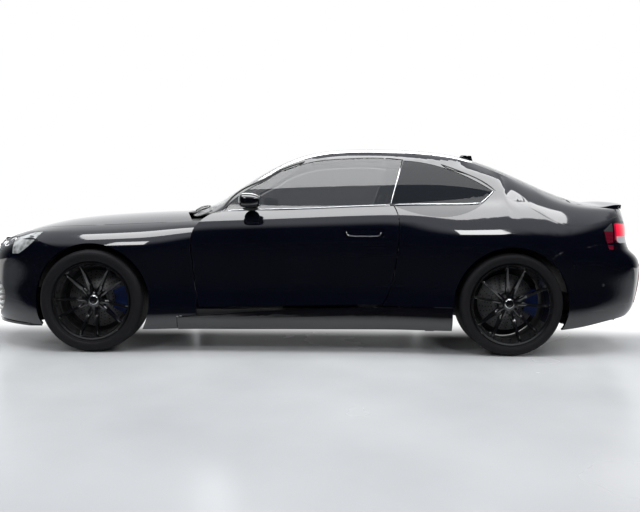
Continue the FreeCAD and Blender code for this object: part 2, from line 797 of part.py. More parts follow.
screen_span_shares = (-0.41, -0.02)
roof_span_shares = (-0.12, 0.50)
back_span_shares = (0.42, 0.84)
screen_wide_share = 0.76
roof_wide_share = 0.65
back_wide_share = 0.66
keep("windscreen", [slab(top_rows(roof_top, screen_span_shares, screen_wide_share), 0, glass_thickness).common(lift(screen_runs))])
keep("roof_panel", [slab(top_rows(roof_top, roof_span_shares, roof_wide_share), 0, roof_skin).common(lift(roof_runs))])
keep("rear_window", [slab(top_rows(roof_top, back_span_shares, back_wide_share), 0, glass_thickness).common(lift(back_runs))])


def turned(profile, x, y, z):
    """A solid of revolution about the axle, from (radius, offset outward on the left) places."""
    points = [vec(x, y - b, z + a) for a, b in profile]
    return Part.Face(Part.makePolygon(points + points[:1])).revolve(vec(x, y, z), vec(0, 1, 0), 360)


def faceted(profile, x, y, z, facets):
    """The same solid with flat facets, one corner straight down."""
    rows = []
    for k in range(facets):
        a = 2 * math.pi * k / facets
        rows.append([vec(x + r * math.sin(a), y - b, z + r * math.cos(a)) for r, b in profile])
    faces = []
    for k in range(facets):
        for i in range(len(profile)):
            j = (i + 1) % len(profile)
            corners = [rows[k - 1][i], rows[k - 1][j], rows[k][j], rows[k][i]]
            faces.append(Part.Face(Part.makePolygon(corners + corners[:1])))
    solid = Part.makeSolid(Part.makeShell(faces))
    if solid.Volume < 0:
        solid.reverse()
    return solid


def soft_box(shares, radius, base=None):
    made = box(shares, base)
    return made.makeFillet(radius, made.Edges)


def leaned(shape, x, z, degrees):
    shape.rotate(vec(x, 0, z), vec(0, 1, 0), degrees)
    return shape


def bars(shares, y_shares):
    """A side view profile drawn across the car."""
    return prism(rounded(straight(side_view(shares))), "y", across(y_shares[0]), across(y_shares[1]))


# Sills, door posts and skirts
skirt_skin = 20.0
blade_depth = 11.0
low_x_shares = (-0.42, 0.44)
low_z_shares = (0.105, 0.25)
blade_shares = [
    [(-0.3764, 0.1654), (-0.1965, 0.1867), (0.0258, 0.206), (0.1528, 0.211)],
    [(0.2358, 0.2138), (0.131, 0.1867), (0, 0.1739)],
    [(-0.1965, 0.1582)],
]
sill_shares = [(-0.37118, 0.39301), (-4.49944, 0), (0.11761, 0.20314)]
flange_shares = [(-0.36681, 0.38428), (-0.93926, -0.83836), (0.11761, 0.14255)]
post_shares = [[(-0.37118, -0.34934), (-1.06862, -0.8099), (0.17819, 0.55595)], [(0.25852, 0.28384), (-1.06862, -0.85489), (0.17819, 0.62723)]]
low_rows = side_rows(low_x_shares, low_z_shares, 10)
skirt = slab(low_rows, 0, skirt_skin).common(through(skirt_runs)).cut(rear_arch)
blade = slab(low_rows, -blade_depth, -fixed_gap).common(through([side_view(run) for run in blade_shares]))
keep("side_skirts", both([skirt, blade]))
sill = slab(low_rows, skirt_skin + seat_gap, door_depth).common(box(sill_shares))
posts = [seated(seated(box(shares), low_rows, skirt_skin), rows, depth)
         for shares, rows, depth in zip(post_shares, (fender_rows, frame_rows), (fender_skin, frame_depth))]
keep("sills", both([sill.fuse(posts + [box(flange_shares)]).cut(rear_arch)]))

# Boot lid and the rear corners
lid_view_shares = [
    (-0.5039, 0.479), (0.5039, 0.479), (0.5084, 0.6215), (0.6367, 0.6301), (0.6434, 0.784),
    (-0.6434, 0.784), (-0.6367, 0.6301), (-0.5084, 0.6215),
]
lid_front_shares = [
    (0.7913, -0.5917), (0.8079, -0.3375), (0.8131, 0), (0.8079, 0.3375), (0.7913, 0.5917),
]
deck_meeting_shares = (0.6, 0.8)
face_wide_share = 0.72
face_low_share = 0.47
lip_height = 26.0
lip_length = 170.0
lip_over = 6.0
deck_shares = [0, 0.12, 0.25, 0.38, 0.5, 0.6, 0.68, 0.75, 0.81, 0.87, 0.93, 1.0]
deck_wide_share = 0.6434
lid_cut_share = 0.85
deck_cut_shares = [(0.77948, 1.74672), (-0.65017, 0.65017), (0.6201, 2.13828)]
lid_front_x = Curve([(b, a) for a, b in lid_front_shares], across, along)


def deck_height(w):
    """Where the tail's face meets the deck."""
    return meeting(tail_at, roof_top, deck_meeting_shares[0], deck_meeting_shares[1], w)


def deck_row(y):
    """The boot lid's top from its front edge back to the lip over the tail."""
    w = y / door_half_width
    end = tail_at(deck_height(w), w).x + lip_over
    start = lid_front_x(y)
    row = []
    for share in deck_shares:
        x = start + (end - start) * share
        row.append(vec(x, y, roof_top(x, y) + lip_height * smooth((x - end + lip_length) / lip_length)))
    return row


lid_runs = straight(end_view(lid_view_shares))
face_rows = ring_rows(tail_at, spread(-face_wide_share, face_wide_share, 17), level(up(face_low_share)), deck_height, 8)
lid_face = slab(face_rows, 0, lid_skin).common(prism(rounded(lid_runs), "x", 0, reach))
deck = slab([deck_row(y) for y in spread(across(-deck_wide_share), across(deck_wide_share), 15)], 0, lid_skin)
keep("boot_lid", [deck.fuse(lid_face)])
lid_cut = prism(rounded(lid_runs, moving_gap), "x", along(lid_cut_share), reach)
corner_wide_shares = (0.50, 0.93)
corner_low_share = 0.545
corner_share = 0.91026
corner_rows = ring_rows(tail_at, spread(corner_wide_shares[0], corner_wide_shares[1], 11), level(up(corner_low_share)), deck_height, 7)
corner_rows = [[vec(p.x, -p.y, p.z) for p in row] for row in corner_rows]
corner = slab(corner_rows, 0, frame_depth).common(block(along(corner_share), reach, -reach, 0, 0, reach))
keep("side_frame_left", [trimmed(frame, [lid_cut, box(deck_cut_shares)]), trimmed(corner, [lid_cut, tail_lamp_cut])])

# Diffuser in the rear bumper's lower opening, with the exhaust's four tips through it
diffuser_shares = [
    (-0.6299, 0.1426), (-0.5287, 0.2708), (-0.4949, 0.2865), (0.4949, 0.2865), (0.5287, 0.2708),
    (0.6299, 0.1426), (0.6299, 0.0713), (-0.6299, 0.0713),
]
diffuser_rows = [row[8:-8] for row in tail_rows[:6]]
diffuser_lap = 12.0
diffuser_skin = 8.0
fin_places_shares = (-0.18, -0.0607, 0.0607, 0.18)
fin_half = 5.0
fin_shares = [(0.91965, 0.96725), (0, 0), (0.12545, 0.23521)]
tray_shares = [(0.8559, 0.94323), (-0.50619, 0.50619), (0.12545, 0.13115)]
tip_places_shares = (-0.4331, -0.2947)
tip_height_share = 0.2039
tip_start_share = 0.9192
tip_radius = 50.0
tip_wall = 4.0
tip_length = 150.0
tip_gap = 6.0
diffuser_runs = straight(end_view(diffuser_shares))
diffuser_cut = prism(rounded(diffuser_runs), "x", 0, reach)
keep("rear_bumper", [trimmed(tail, [lid_cut, diffuser_cut])])


def pipe_at(share, start, length, radius):
    return Part.makeCylinder(radius, length, vec(start, across(share), up(tip_height_share)), vec(1, 0, 0))


tips = []
for share in tip_places_shares:
    tip = pipe_at(share, along(tip_start_share), tip_length, tip_radius)
    tips.append(tip.cut(pipe_at(share, along(tip_start_share) + tip_wall, tip_length, tip_radius - tip_wall)))
holes = [pipe_at(share, 0, reach, tip_radius + tip_gap) for share in tip_places_shares]
diffuser = slab(diffuser_rows, bumper_skin + 2 * seat_gap, bumper_skin + 2 * seat_gap + diffuser_skin)
diffuser = seated(diffuser.common(prism(rounded(diffuser_runs, diffuser_lap), "x", 0, reach)), tail_rows, bumper_skin)
x_span, _, z_span = fin_shares
fins = [block(along(x_span[0]), along(x_span[1]), across(w) - fin_half, across(w) + fin_half, up(z_span[0]), up(z_span[1]))
        for w in fin_places_shares]
keep("diffuser", [trimmed(diffuser.fuse(fins + [box(tray_shares)]), both(holes))])

# Lamps
keep("headlamp_lenses", both([slab(front_lamp(-2 * seat_gap), 0, lens_depth)]))


def bowl_rows(gap):
    """The lamp's grid without its narrow outer end."""
    return lamp_rows(nose_at, lamp_low_shares[:-1], lamp_top_shares[:-1], gap)


bowl = slab(bowl_rows(-lamp_ease), lens_depth + lamp_air, lamp_depth)
keep("headlamp_units", both([bowl.cut(slab(bowl_rows(-lamp_ease - lamp_wall), 0, lamp_depth - 2 * lamp_wall))]))
keep("tail_lamps", both([slab(tail_lamp(-2 * fixed_gap), 0, tail_lens_depth)]))

# Wheels. Profiles are (share of the radius, share of the half width), the offset outward.
tyre_facets = 72
seat_drop = 8.0
flange_rise = 2.0
disc_radius = 190.0
disc_half = 15.0
disc_offset = -40.0
disc_bore = 52.0
bell_radius = 76.0
hub_radius = 62.0
hub_back = 20.0
spoke_width = 21.0
spoke_tip_width = 17.0
spoke_draft = 13.0
spoke_lean = 14.0
spoke_pairs = 5
barrel_shares = [
    (0.945, -0.93), (0.921, -0.60), (0.866, 0.0), (0.866, 0.3), (0.921, 0.62), (0.945, 0.88), (0.957, 0.93),
    (1.0, 0.93), (1.0, 0.0), (0.945, 0.80), (0.913, 0.5), (0.89, 0.25), (0.89, 0.05), (0.945, -0.5), (1.0, 0.0), (1.0, -0.93),
]
tyre_shares = [(0.5, 1.0), (0.89, 0.93), (1.0, 0.66), (1.0, -0.66), (0.89, -0.93), (0.5, -1.0)]
hub_shares = [(0, 0.26), (1.19, 0.26), (1.0, 0.64), (0.77, 0.88), (0.52, 0.92), (0.50, 1.0), (0, 1.04)]
hub_face = 74.0
spoke_shares = [(0.39, 0.90), (0.45, 1.05), (0.75, 1.29), (0.933, 1.49), (0.933, 0.99), (0.70, 0.89), (0.42, 0.49), (0.095, 0.38), (0.095, 0.88)]
first_spokes = {"front": 48.7, "rear": 11.6}
axles = [
    ("front", front_axle_x, front_axle_z, front_track / 2, front_tyre_radius, front_tyre_width / 2, front_rim_radius),
    ("rear", rear_axle_x, rear_axle_z, rear_track / 2, rear_tyre_radius, rear_tyre_width / 2, rear_rim_radius),
]


def spoke_at(x, y, z, rim, degrees):
    """One slim spoke: dished in at the hub, rising outward to the rim's lip, narrower at its face."""
    outline = [vec(rim * a, -hub_face * b, 0) for a, b in spoke_shares]
    made = Part.Face(Part.makePolygon(outline + outline[:1])).extrude(vec(0, 0, 2 * spoke_width))
    made.translate(vec(0, 0, -spoke_width))
    wires = []
    for depth, draft in ((0, spoke_draft / 2), (2 * hub_face, -spoke_draft / 2)):
        root, tip = spoke_width / 2 + draft, spoke_tip_width / 2 + draft
        corners = [vec(0, -depth, -root), vec(rim, -depth, -tip), vec(rim, -depth, tip), vec(0, -depth, root)]
        wires.append(Part.makePolygon(corners + corners[:1]))
    made = made.common(Part.makeLoft(wires, True, True))
    made.rotate(vec(0, 0, 0), vec(0, 1, 0), -degrees)
    made.translate(vec(x, y, z))
    return made


# Knuckles: the hub carrier with its axle stub, and the brake caliper behind the axle
stub_radius = 45.0
stub_start = -62.0
stub_end = -150.0
carrier_half = 45.0
carrier_start = 70.0
carrier_end = 108.0
carrier_low = 130.0
carrier_high = 110.0
caliper_inner = -82.0
caliper_outer = 2.0
caliper_rise = 18.0
caliper_reach = 68.0
disc_clear = 7.0
wedge_long = 320.0
wedge_half = 165.0
bridge_shares = (0.16, 0.79)
bridge_half = 25.0
bridge_depth = 20.0


def wheel_set(name, x, z, y, tyre, half, rim):
    """Tyre, rim and disc of one left wheel, and its knuckle."""
    seat = rim - seat_drop
    flange = rim + flange_rise
    bead = tyre_bead_share * half
    rise = [(flange + (tyre - flange) * a, half * b) for a, b in tyre_shares]
    rubber = faceted([(seat, bead), (flange, bead)] + rise + [(flange, -bead), (seat, -bead)], x, -y, z, tyre_facets)
    edge = bead + fixed_gap
    low = seat - shut_gap
    inner = [(rim * a, half * b) for a, b in barrel_shares[:7]]
    lip_out, lip_in = half * barrel_shares[6][1], -half * barrel_shares[6][1]
    well = [(rim * a, half * b) for a, b in barrel_shares[9:14]]
    profile = inner + [(rim, lip_out), (rim, edge), (low, edge)] + well + [(low, -edge), (rim, -edge), (rim, lip_in)]
    hub = turned([(hub_radius * a, hub_face * b) for a, b in hub_shares], x, -y, z)
    made = turned(profile, x, -y, z).fuse(hub)
    for k in range(spoke_pairs):
        for lean in (-spoke_lean, spoke_lean):
            made = made.fuse(spoke_at(x, -y, z, rim, first_spokes[name] + 360 / spoke_pairs * k + lean))
    face = disc_offset + disc_half
    rotor = turned([(disc_bore, disc_offset - disc_half), (disc_radius, disc_offset - disc_half),
                    (disc_radius, face), (bell_radius, face), (bell_radius, hub_back_share * hub_face - fixed_gap),
                    (0, hub_back_share * hub_face - fixed_gap), (0, face), (disc_bore, face)], x, -y, z)
    stub = turned([(0, stub_start), (stub_radius, stub_start), (stub_radius, stub_end), (0, stub_end)], x, -y, z)
    carrier = block(x - carrier_half, x + carrier_half, -y + carrier_start, -y + carrier_end, z - carrier_low, z + carrier_high)
    ring = [(disc_radius - caliper_reach, caliper_inner), (disc_radius + caliper_rise, caliper_inner),
            (disc_radius + caliper_rise, caliper_outer), (disc_radius - caliper_reach, caliper_outer)]
    slot_in, slot_out = disc_offset - disc_half - disc_clear, face + disc_clear
    slot = [(0, slot_in), (disc_radius + disc_clear, slot_in), (disc_radius + disc_clear, slot_out), (0, slot_out)]
    tip = -y - 2 * caliper_outer
    wedge = Part.makePolygon([vec(x, tip, z), vec(x + wedge_long, tip, z - wedge_half), vec(x + wedge_long, tip, z + wedge_half), vec(x, tip, z)])
    caliper = turned(ring, x, -y, z).cut(turned(slot, x, -y, z)).common(Part.Face(wedge).extrude(vec(0, carrier_end, 0)))
    bridge = block(x + bridge_shares[0] * disc_radius, x + bridge_shares[1] * disc_radius,
                   -y + carrier_start, -y + carrier_start + bridge_depth, z - bridge_half, z + bridge_half)
    return rubber, made, rotor, stub.fuse([carrier, bridge, caliper])


tyre_bead_share = 0.86
hub_back_share = 0.26
for axle in axles:
    tyre, wheel, rotor, knuckle = wheel_set(*axle)
    for part, shape in (("tyre", tyre), ("rim", wheel), ("disc", rotor)):
        keep(f"{axle[0]}_{part}_left", [shape])
        keep(f"{axle[0]}_{part}_right", [mirror(shape)])
    if axle[0] == "front":
        keep("front_knuckle_left", [knuckle])
        keep("front_knuckle_right", [mirror(knuckle)])
    else:
        keep("rear_knuckles", both([knuckle]))

# Floor, bulkheads and wheel wells
floor_shares = [(-0.36681, 0.4214), (-0.83802, 0.83802), (0.12473, 0.14255)]
floor_notch_shares = [(0.38428, 0.74236), (-0.89989, -0.52868), (0.07128, 0.21383)]
firewall_shares = [
    (-0.7874, 0.1426), (0.7874, 0.1426), (0.7874, 0.5631), (0.6074, 0.6058), (-0.6074, 0.6058),
    (-0.7874, 0.5631),
]
firewall_x_shares = (-0.36900, -0.36026)
rear_wall_shares = [(0.44192, 0.44847), (-0.51744, 0.51744), (0, 0.49893)]
cowl_shares = [(-0.43013, -0.3607), (-0.60742, 0.60742), (0, 0.61083)]
pad_shares = [[(-0.35371, -0.32751), (-0.91676, -0.85489), (0.10121, 0.11739)], [(0.33624, 0.36245), (-0.91676, -0.85489), (0.10121, 0.11739)]]
boot_floor_shares = [(0.42183, 1), (-0.5396, 0.5396), (0.32431, 0.335)]
well_gap = 1.0
well_wall = 5.0
well_y_shares = (-1.07, -0.5400)
well_inner_share = -0.549
well_rise = 80.0
well_half = 500.0
floor = box(floor_shares)
floor_top = up(floor_shares[2][1])
stand = floor_top + fixed_gap
keep("floor_pan", [trimmed(floor, both([box(floor_notch_shares)]))])
firewall = prism(rounded(straight(end_view(firewall_shares))), "x", along(firewall_x_shares[0]), along(firewall_x_shares[1]))
firewall = firewall.cut(block(-reach, reach, -reach, reach, 0, stand))
keep("bulkheads", [firewall, box(cowl_shares, up(firewall_shares[3][1]) + fixed_gap), box(rear_wall_shares, up(boot_floor_shares[2][1]) + fixed_gap)])
keep("jacking_pads", both([box(shares) for shares in pad_shares]))
keep("boot_floor", [seated(box(boot_floor_shares), tail_rows, bumper_skin)])
wells = []
ends = [(fender_rows, fender_skin, nose_rows, nose_runs), (frame_rows, frame_depth, tail_rows, tail_runs)]
for (name, x, z, y, tyre, half, rim), (rows, depth, end_rows, end_runs) in zip(axles, ends):
    outer = round_at(x, z, arch_radius + well_gap + well_wall, across(well_y_shares[0]), across(well_y_shares[1]))
    inner = round_at(x, z, arch_radius + well_gap, across(well_y_shares[0]), across(well_inner_share))
    well = outer.cut(inner).common(block(x - well_half, x + well_half, -reach, 0, z + well_rise, reach))
    behind = slab(end_rows, -seat_reach, bumper_skin + seat_gap).common(through(end_runs, panel_gap))
    wells.append(seated(well, rows, depth).cut(behind))
keep("wheel_liners", both(wells))

# Cabin
dash_shares = [
    (-0.3668, 0.4918), (-0.3668, 0.5488), (-0.3319, 0.593), (-0.2882, 0.6144), (-0.2445, 0.6187),
    (-0.2236, 0.603), (-0.2183, 0.5702), (-0.2358, 0.5239), (-0.2707, 0.4704),
]
hood_shares = [
    (-0.2795, 0.6058), (-0.2445, 0.6272), (-0.2183, 0.645), (-0.1987, 0.6415), (-0.2052, 0.6058),
    (-0.2445, 0.5987),
]
console_shares = [
    (-0.2445, 0.1428), (-0.2445, 0.4989), (-0.2052, 0.4918), (-0.1441, 0.3706), (-0.0873, 0.335),
    (0.0699, 0.3493), (0.0742, 0.1428),
]
dash_wide_shares = (-0.787, 0.787)
hood_wide_shares = (-0.596, -0.236)
console_wide_shares = (-0.124, 0.124)
seat_place_share = 0.4162
seat_base_shares = [(-0.08734, 0.1441), (-0.22497, 0.22497), (0, 0.2459)]
head_post_shares = [[(0.23712, 0.24585), (0.05962, 0.07537), (0.60584, 0.68425)], [(0.23712, 0.24585), (-0.07537, -0.05962), (0.60584, 0.68425)]]
cushion_shares = [(-0.11354, 0.10917), (-0.28684, 0.28684), (0.24947, 0.33143)]
backrest_shares = [(0.11441, 0.17118), (-0.28684, 0.28684), (0.2459, 0.68781)]
headrest_shares = [(0.22183, 0.26201), (-0.15748, 0.15748), (0.6593, 0.78047)]
cushion_round = 45.0
headrest_round = 38.0
cushion_lean = 5.0
backrest_lean = 22.0
headrest_lean = 16.0
bench_shares = [(0.21834, 0.39301), (-0.60742, 0.60742), (0, 0.30649)]
bench_back_shares = [(0.37118, 0.40437), (-0.51744, 0.51744), (0.30934, 0.60584)]
bench_round = 34.0
bench_lean = 16.0
dash = bars(dash_shares, dash_wide_shares).fuse(bars(hood_shares, hood_wide_shares))
dash = dash.cut(block(-reach, along(firewall_x_shares[1]) + fixed_gap, -reach, reach, 0, reach))
keep("dashboard", [dash, bars(console_shares, console_wide_shares).cut(dash)])


seat_parts = [(cushion_shares, cushion_round, cushion_lean), (backrest_shares, cushion_round, backrest_lean),
              (headrest_shares, headrest_round, headrest_lean)]


def seat_piece(made, shares, lean, drop=0.0):
    leaned(made, along(shares[0][0]), up(shares[2][0]), lean)
    made.translate(vec(0, -across(seat_place_share), -drop))
    return made


def seat_room(index, drop):
    """A square-edged seat part moved down, to cut what carries it."""
    shares, radius, lean = seat_parts[index]
    return seat_piece(box(shares), shares, lean, drop)


frame_parts = [box(seat_base_shares, stand)] + [box(shares) for shares in head_post_shares]
for made in frame_parts:
    made.translate(vec(0, -across(seat_place_share), 0))
frame_parts[0] = trimmed(frame_parts[0], [seat_room(0, fixed_gap), seat_room(1, fixed_gap)])
frame_parts[1:] = [trimmed(post, [seat_room(1, -fixed_gap), seat_room(2, fixed_gap)]) for post in frame_parts[1:]]
keep("front_seats", both([seat_piece(soft_box(shares, radius), shares, lean) for shares, radius, lean in seat_parts]))
keep("seat_frames", both(frame_parts))
bench_back = soft_box(bench_back_shares, bench_round)
leaned(bench_back, along(bench_back_shares[0][0]), up(bench_back_shares[2][0]), bench_lean)
keep("rear_bench", [soft_box(bench_shares, bench_round, stand), bench_back])

# Steering wheel: a ring, a boss, three arms and the column into the dashboard
wheel_radius = 180.0
wheel_grip = 14.0
boss_radius = 62.0
boss_depth = 26.0
arm_thickness = 16.0
arm_width = 40.0
column_radius = 30.0
column_length = 190.0
wheel_centre_shares = (-0.1441, -0.4162, 0.5702)
wheel_tilt = 21.8
column_way = vec(-1, 0, 0)
steer = Part.makeTorus(wheel_radius, wheel_grip, vec(0, 0, 0), vec(1, 0, 0))
steer = steer.fuse([
    Part.makeCylinder(boss_radius, boss_depth, vec(-boss_depth / 2, 0, 0), vec(1, 0, 0)),
    block(-arm_thickness / 2, arm_thickness / 2, -wheel_radius, wheel_radius, -arm_width / 2, arm_width / 2),
    block(-arm_thickness / 2, arm_thickness / 2, -arm_width / 2, arm_width / 2, -wheel_radius, 0),
    Part.makeCylinder(column_radius, column_length, vec(-boss_depth / 2, 0, 0), column_way),
])
leaned(steer, 0, 0, -wheel_tilt)
steer.translate(vec(along(wheel_centre_shares[0]), across(wheel_centre_shares[1]), up(wheel_centre_shares[2])))
keep("steering_wheel", [steer.cut(dash)])

# Running gear
engine_shares = [(-0.78603, -0.43668), (-0.30371, 0.30371), (0, 0.52744)]
front_beam_shares = [(-0.68122, -0.56769), (-0.47244, 0.47244), (0.12117, 0.18175)]
front_arm_shares = [(-0.63319, -0.6179), (-0.8009, -0.47278), (0.12972, 0.14398)]
front_stand_shares = [(-0.64629, -0.60262), (-0.52868, -0.44994), (0.17106, 0.23521)]
rail_shares = [(-0.91703, -0.36913), (-0.5396, -0.44994), (0.23542, 0.32074)]
rear_beam_shares = [(0.51965, 0.62882), (-0.47244, 0.47244), (0.14612, 0.2067)]
rear_arm_shares = [(0.56681, 0.58166), (-0.78088, -0.47278), (0.1511, 0.16393)]
rear_stand_shares = [(0.51965, 0.54148), (-0.47244, -0.33746), (0.19244, 0.32409)]
final_drive_shares = [(0.52402, 0.62445), (-0.22497, 0.22497), (0, 0.31361)]
silencer_shares = [(0.74236, 0.9214), (-0.49494, 0.49494), (0.1675, 0.2851)]
hanger_shares = [(0.80786, 0.82969), (-0.3712, -0.33746), (0.27085, 0.32409)]
shaft_radius = 16.0
shaft_start = 150.3
keep("engine_block", [box(engine_shares, up(front_beam_shares[2][1]) + fixed_gap)])
keep("front_subframe", [box(front_beam_shares).fuse(both([box(front_stand_shares)]))] + both([box(front_arm_shares)]))
keep("rear_subframe", [box(rear_beam_shares).fuse(both([box(rear_stand_shares)]))] + both([box(rear_arm_shares)]))
keep("chassis_rails", both([box(rail_shares)]))
drive_half = across(final_drive_shares[1][1])
shaft_from = -rear_track / 2 + shaft_start
shaft = Part.makeCylinder(shaft_radius, -drive_half - fixed_gap - shaft_from, vec(rear_axle_x, shaft_from, rear_axle_z), vec(0, 1, 0))
keep("drive_shafts", both([shaft]) + [box(final_drive_shares, up(rear_beam_shares[2][1]) + fixed_gap)])
silencer_end = block(along(tip_start_share) - fixed_gap, reach, -reach, reach, 0, reach)
keep("exhaust", [box(silencer_shares).fuse(both([box(hanger_shares)])).cut(silencer_end)] + both(tips))

# Front openings and what stands in them
twin_shares = [
    [(0.0337, 0.3564), (0.0382, 0.4562)], [(0.0585, 0.479), (0.2025, 0.489), (0.3375, 0.4875)], [
        (0.3802, 0.4704), (0.396, 0.4419),
    ], [(0.3802, 0.3991), (0.351, 0.3421)],
    [(0.3262, 0.3293), (0.18, 0.3321), (0.063, 0.3364)],
]
low_shares = [[(-0.4274, 0.1511), (0.4274, 0.1511)], [(0.4499, 0.1654), (0.3712, 0.2851)], [
    (0.3487, 0.2958), (-0.3487, 0.2958),
], [(-0.3712, 0.2851), (-0.4499, 0.1654)]]
side_shares = [[(0.5287, 0.1532), (0.7762, 0.1582)], [(0.8099, 0.1782), (0.8346, 0.2708)], [
    (0.7874, 0.3136), (0.5399, 0.2994),
], [(0.4949, 0.2708), (0.5084, 0.1675)]]
opening_x_shares = (-1.1, -0.8)
slat_half = 3.5
slat_set = 10.0
slat_depth = 30.0
mesh_depth = 6.0
grille_top_share = 0.494
grille_trim = 8.0
grille_steps = 10


def opening(shares, gap=0.0):
    """A prism through the nose, from an end view outline with small slanted corners."""
    runs = rounded([end_view(run) for run in shares], gap)
    return prism(runs, "x", along(opening_x_shares[0]), along(opening_x_shares[1]))


holes = both([opening(twin_shares), opening(side_shares)]) + [opening(low_shares)]
twin, low_hole, side_hole = (opening(shares, -fixed_gap) for shares in (twin_shares, low_shares, side_shares))
keep("front_bumper", [trimmed(nose, holes)])
grille_rows = ring_rows(nose_at, wrap_shares[4:-4], level(bumper_bottom + grille_trim), level(up(grille_top_share)), grille_steps)
bar_layer = slab(grille_rows, slat_set, slat_set + slat_depth)
mesh_layer = slab(grille_rows, slat_set + slat_depth - slat_half, slat_set + slat_depth + mesh_depth)
slats = []
for tool, count, z_shares in ((twin, 7, (0.3464, 0.4733)), (low_hole, 6, (0.1668, 0.2808)), (side_hole, 6, (0.1668, 0.2951))):
    rods = [block(-reach, 0, -reach, reach, z - slat_half, z + slat_half) for z in heights(z_shares, count)]
    piece = bar_layer.common(tool).common(Part.makeCompound(rods)).fuse(mesh_layer.common(tool))
    slats += [piece] if tool is low_hole else both([piece])
keep("grille", slats)
splitter_rise = 14.0
splitter_over = 12.0
splitter_depth = 70.0
splitter_edge = [nose_at(bumper_bottom, w) for w in wrap_shares[4:-4]]
splitter_ahead = [(p.x - splitter_over, p.y) for p in splitter_edge]
splitter_behind = [(p.x + splitter_depth, p.y) for p in reversed(splitter_edge)]
splitter_runs = [splitter_ahead, splitter_behind[:1], splitter_behind[1:-1], splitter_behind[-1:]]
keep("front_splitter", [prism(rounded(splitter_runs), "z", bumper_bottom - splitter_rise, bumper_bottom - fixed_gap)])
antenna_shares = [(0.4891, 0.9551), (0.5022, 0.9808), (0.5354, 0.9779), (0.5415, 0.9444)]
antenna_wide_shares = (-0.016, 0.016)
antenna_x_shares = (0.40, 0.62)
antenna_zone = slab(top_rows(roof_top, antenna_x_shares, deck_meeting_shares[0] / 3), -fixed_gap, 2 * roof_skin)
keep("antenna", [bars(antenna_shares, antenna_wide_shares).cut(antenna_zone)])

# Door mirrors
mirror_shares = [(-0.20437, -0.13624), (-1.15861, -0.95613), (0.68425, 0.75267)]
mirror_round = 34.0
foot_shares = [(-0.2293, 0.6629), (-0.2074, 0.7056), (-0.1834, 0.7056), (-0.1725, 0.6664)]
foot_wide_shares = (-0.985, -0.86)
mirror_x_shares = (-0.30, -0.12)
mirror_z_shares = (0.62, 0.80)
mirror_zone = slab(side_rows(mirror_x_shares, mirror_z_shares, 10), -fixed_gap, door_depth)
mirror_body = soft_box(mirror_shares, mirror_round).fuse(bars(foot_shares, foot_wide_shares))
keep("mirror_left", [mirror_body.cut(mirror_zone)])
keep("mirror_right", [mirror(nodes["mirror_left"])])
for name in ("fender", "side_frame", "door", "door_glass"):
    keep(f"{name}_right", [mirror(nodes[f"{name}_left"])])
keep("quarter_glass", both([nodes["quarter_glass"]]))

os.makedirs("parts", exist_ok=True)
for name, shape in nodes.items():
    print(name, len(shape.Solids), shape.isValid(), round(shape.Volume / 1e6, 2))
    shape.exportStep(f"parts/{name}.step")
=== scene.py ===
import bpy, bmesh, math, json
import numpy as np
from mathutils import Vector, Matrix
from mathutils.bvhtree import BVHTree
from mathutils.geometry import barycentric_transform

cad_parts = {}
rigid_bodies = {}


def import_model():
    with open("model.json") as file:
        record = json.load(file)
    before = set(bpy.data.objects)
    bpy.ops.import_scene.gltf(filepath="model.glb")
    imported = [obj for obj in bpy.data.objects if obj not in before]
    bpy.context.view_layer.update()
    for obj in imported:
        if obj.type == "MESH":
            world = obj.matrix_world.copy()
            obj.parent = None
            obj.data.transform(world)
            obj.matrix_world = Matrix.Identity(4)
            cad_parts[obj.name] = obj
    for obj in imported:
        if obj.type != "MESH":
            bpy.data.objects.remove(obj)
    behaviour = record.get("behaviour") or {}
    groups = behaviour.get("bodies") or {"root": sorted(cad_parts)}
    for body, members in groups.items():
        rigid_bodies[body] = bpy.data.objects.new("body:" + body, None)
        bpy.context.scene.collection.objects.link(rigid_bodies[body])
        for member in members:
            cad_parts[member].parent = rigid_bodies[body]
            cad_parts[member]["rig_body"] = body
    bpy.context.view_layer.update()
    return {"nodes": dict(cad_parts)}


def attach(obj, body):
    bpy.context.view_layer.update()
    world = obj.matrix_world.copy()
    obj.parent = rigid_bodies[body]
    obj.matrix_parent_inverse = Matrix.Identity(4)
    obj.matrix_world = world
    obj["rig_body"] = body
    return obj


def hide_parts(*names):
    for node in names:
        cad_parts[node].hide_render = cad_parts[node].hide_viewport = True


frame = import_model()
nodes = frame["nodes"]
scene = bpy.context.scene
scene.view_settings.view_transform = "Standard"

MM = 0.001

# Camera, lamps and floor


def look(location, pitch, roll, lens):
    """A camera that looks along +Y, tipped down and rolled by a few degrees."""
    data = bpy.data.cameras.new("camera")
    data.lens, data.sensor_width, data.clip_end = lens, 36, 100
    camera = bpy.data.objects.new("camera", data)
    scene.collection.objects.link(camera)
    turn = Matrix.Rotation(math.radians(90 - pitch), 4, "X") @ Matrix.Rotation(math.radians(roll), 4, "Z")
    camera.rotation_mode = "QUATERNION"
    camera.location = location
    camera.rotation_quaternion = turn.to_quaternion()
    scene.camera = camera


def softbox(name, place, aim, width, height, power):
    data = bpy.data.lights.new(name, "AREA")
    data.shape, data.size, data.size_y, data.energy = "RECTANGLE", width, height, power
    lamp = bpy.data.objects.new(name, data)
    scene.collection.objects.link(lamp)
    lamp.location = place
    lamp.rotation_mode = "QUATERNION"
    lamp.rotation_quaternion = (Vector(aim) - Vector(place)).to_track_quat("-Z", "Y")


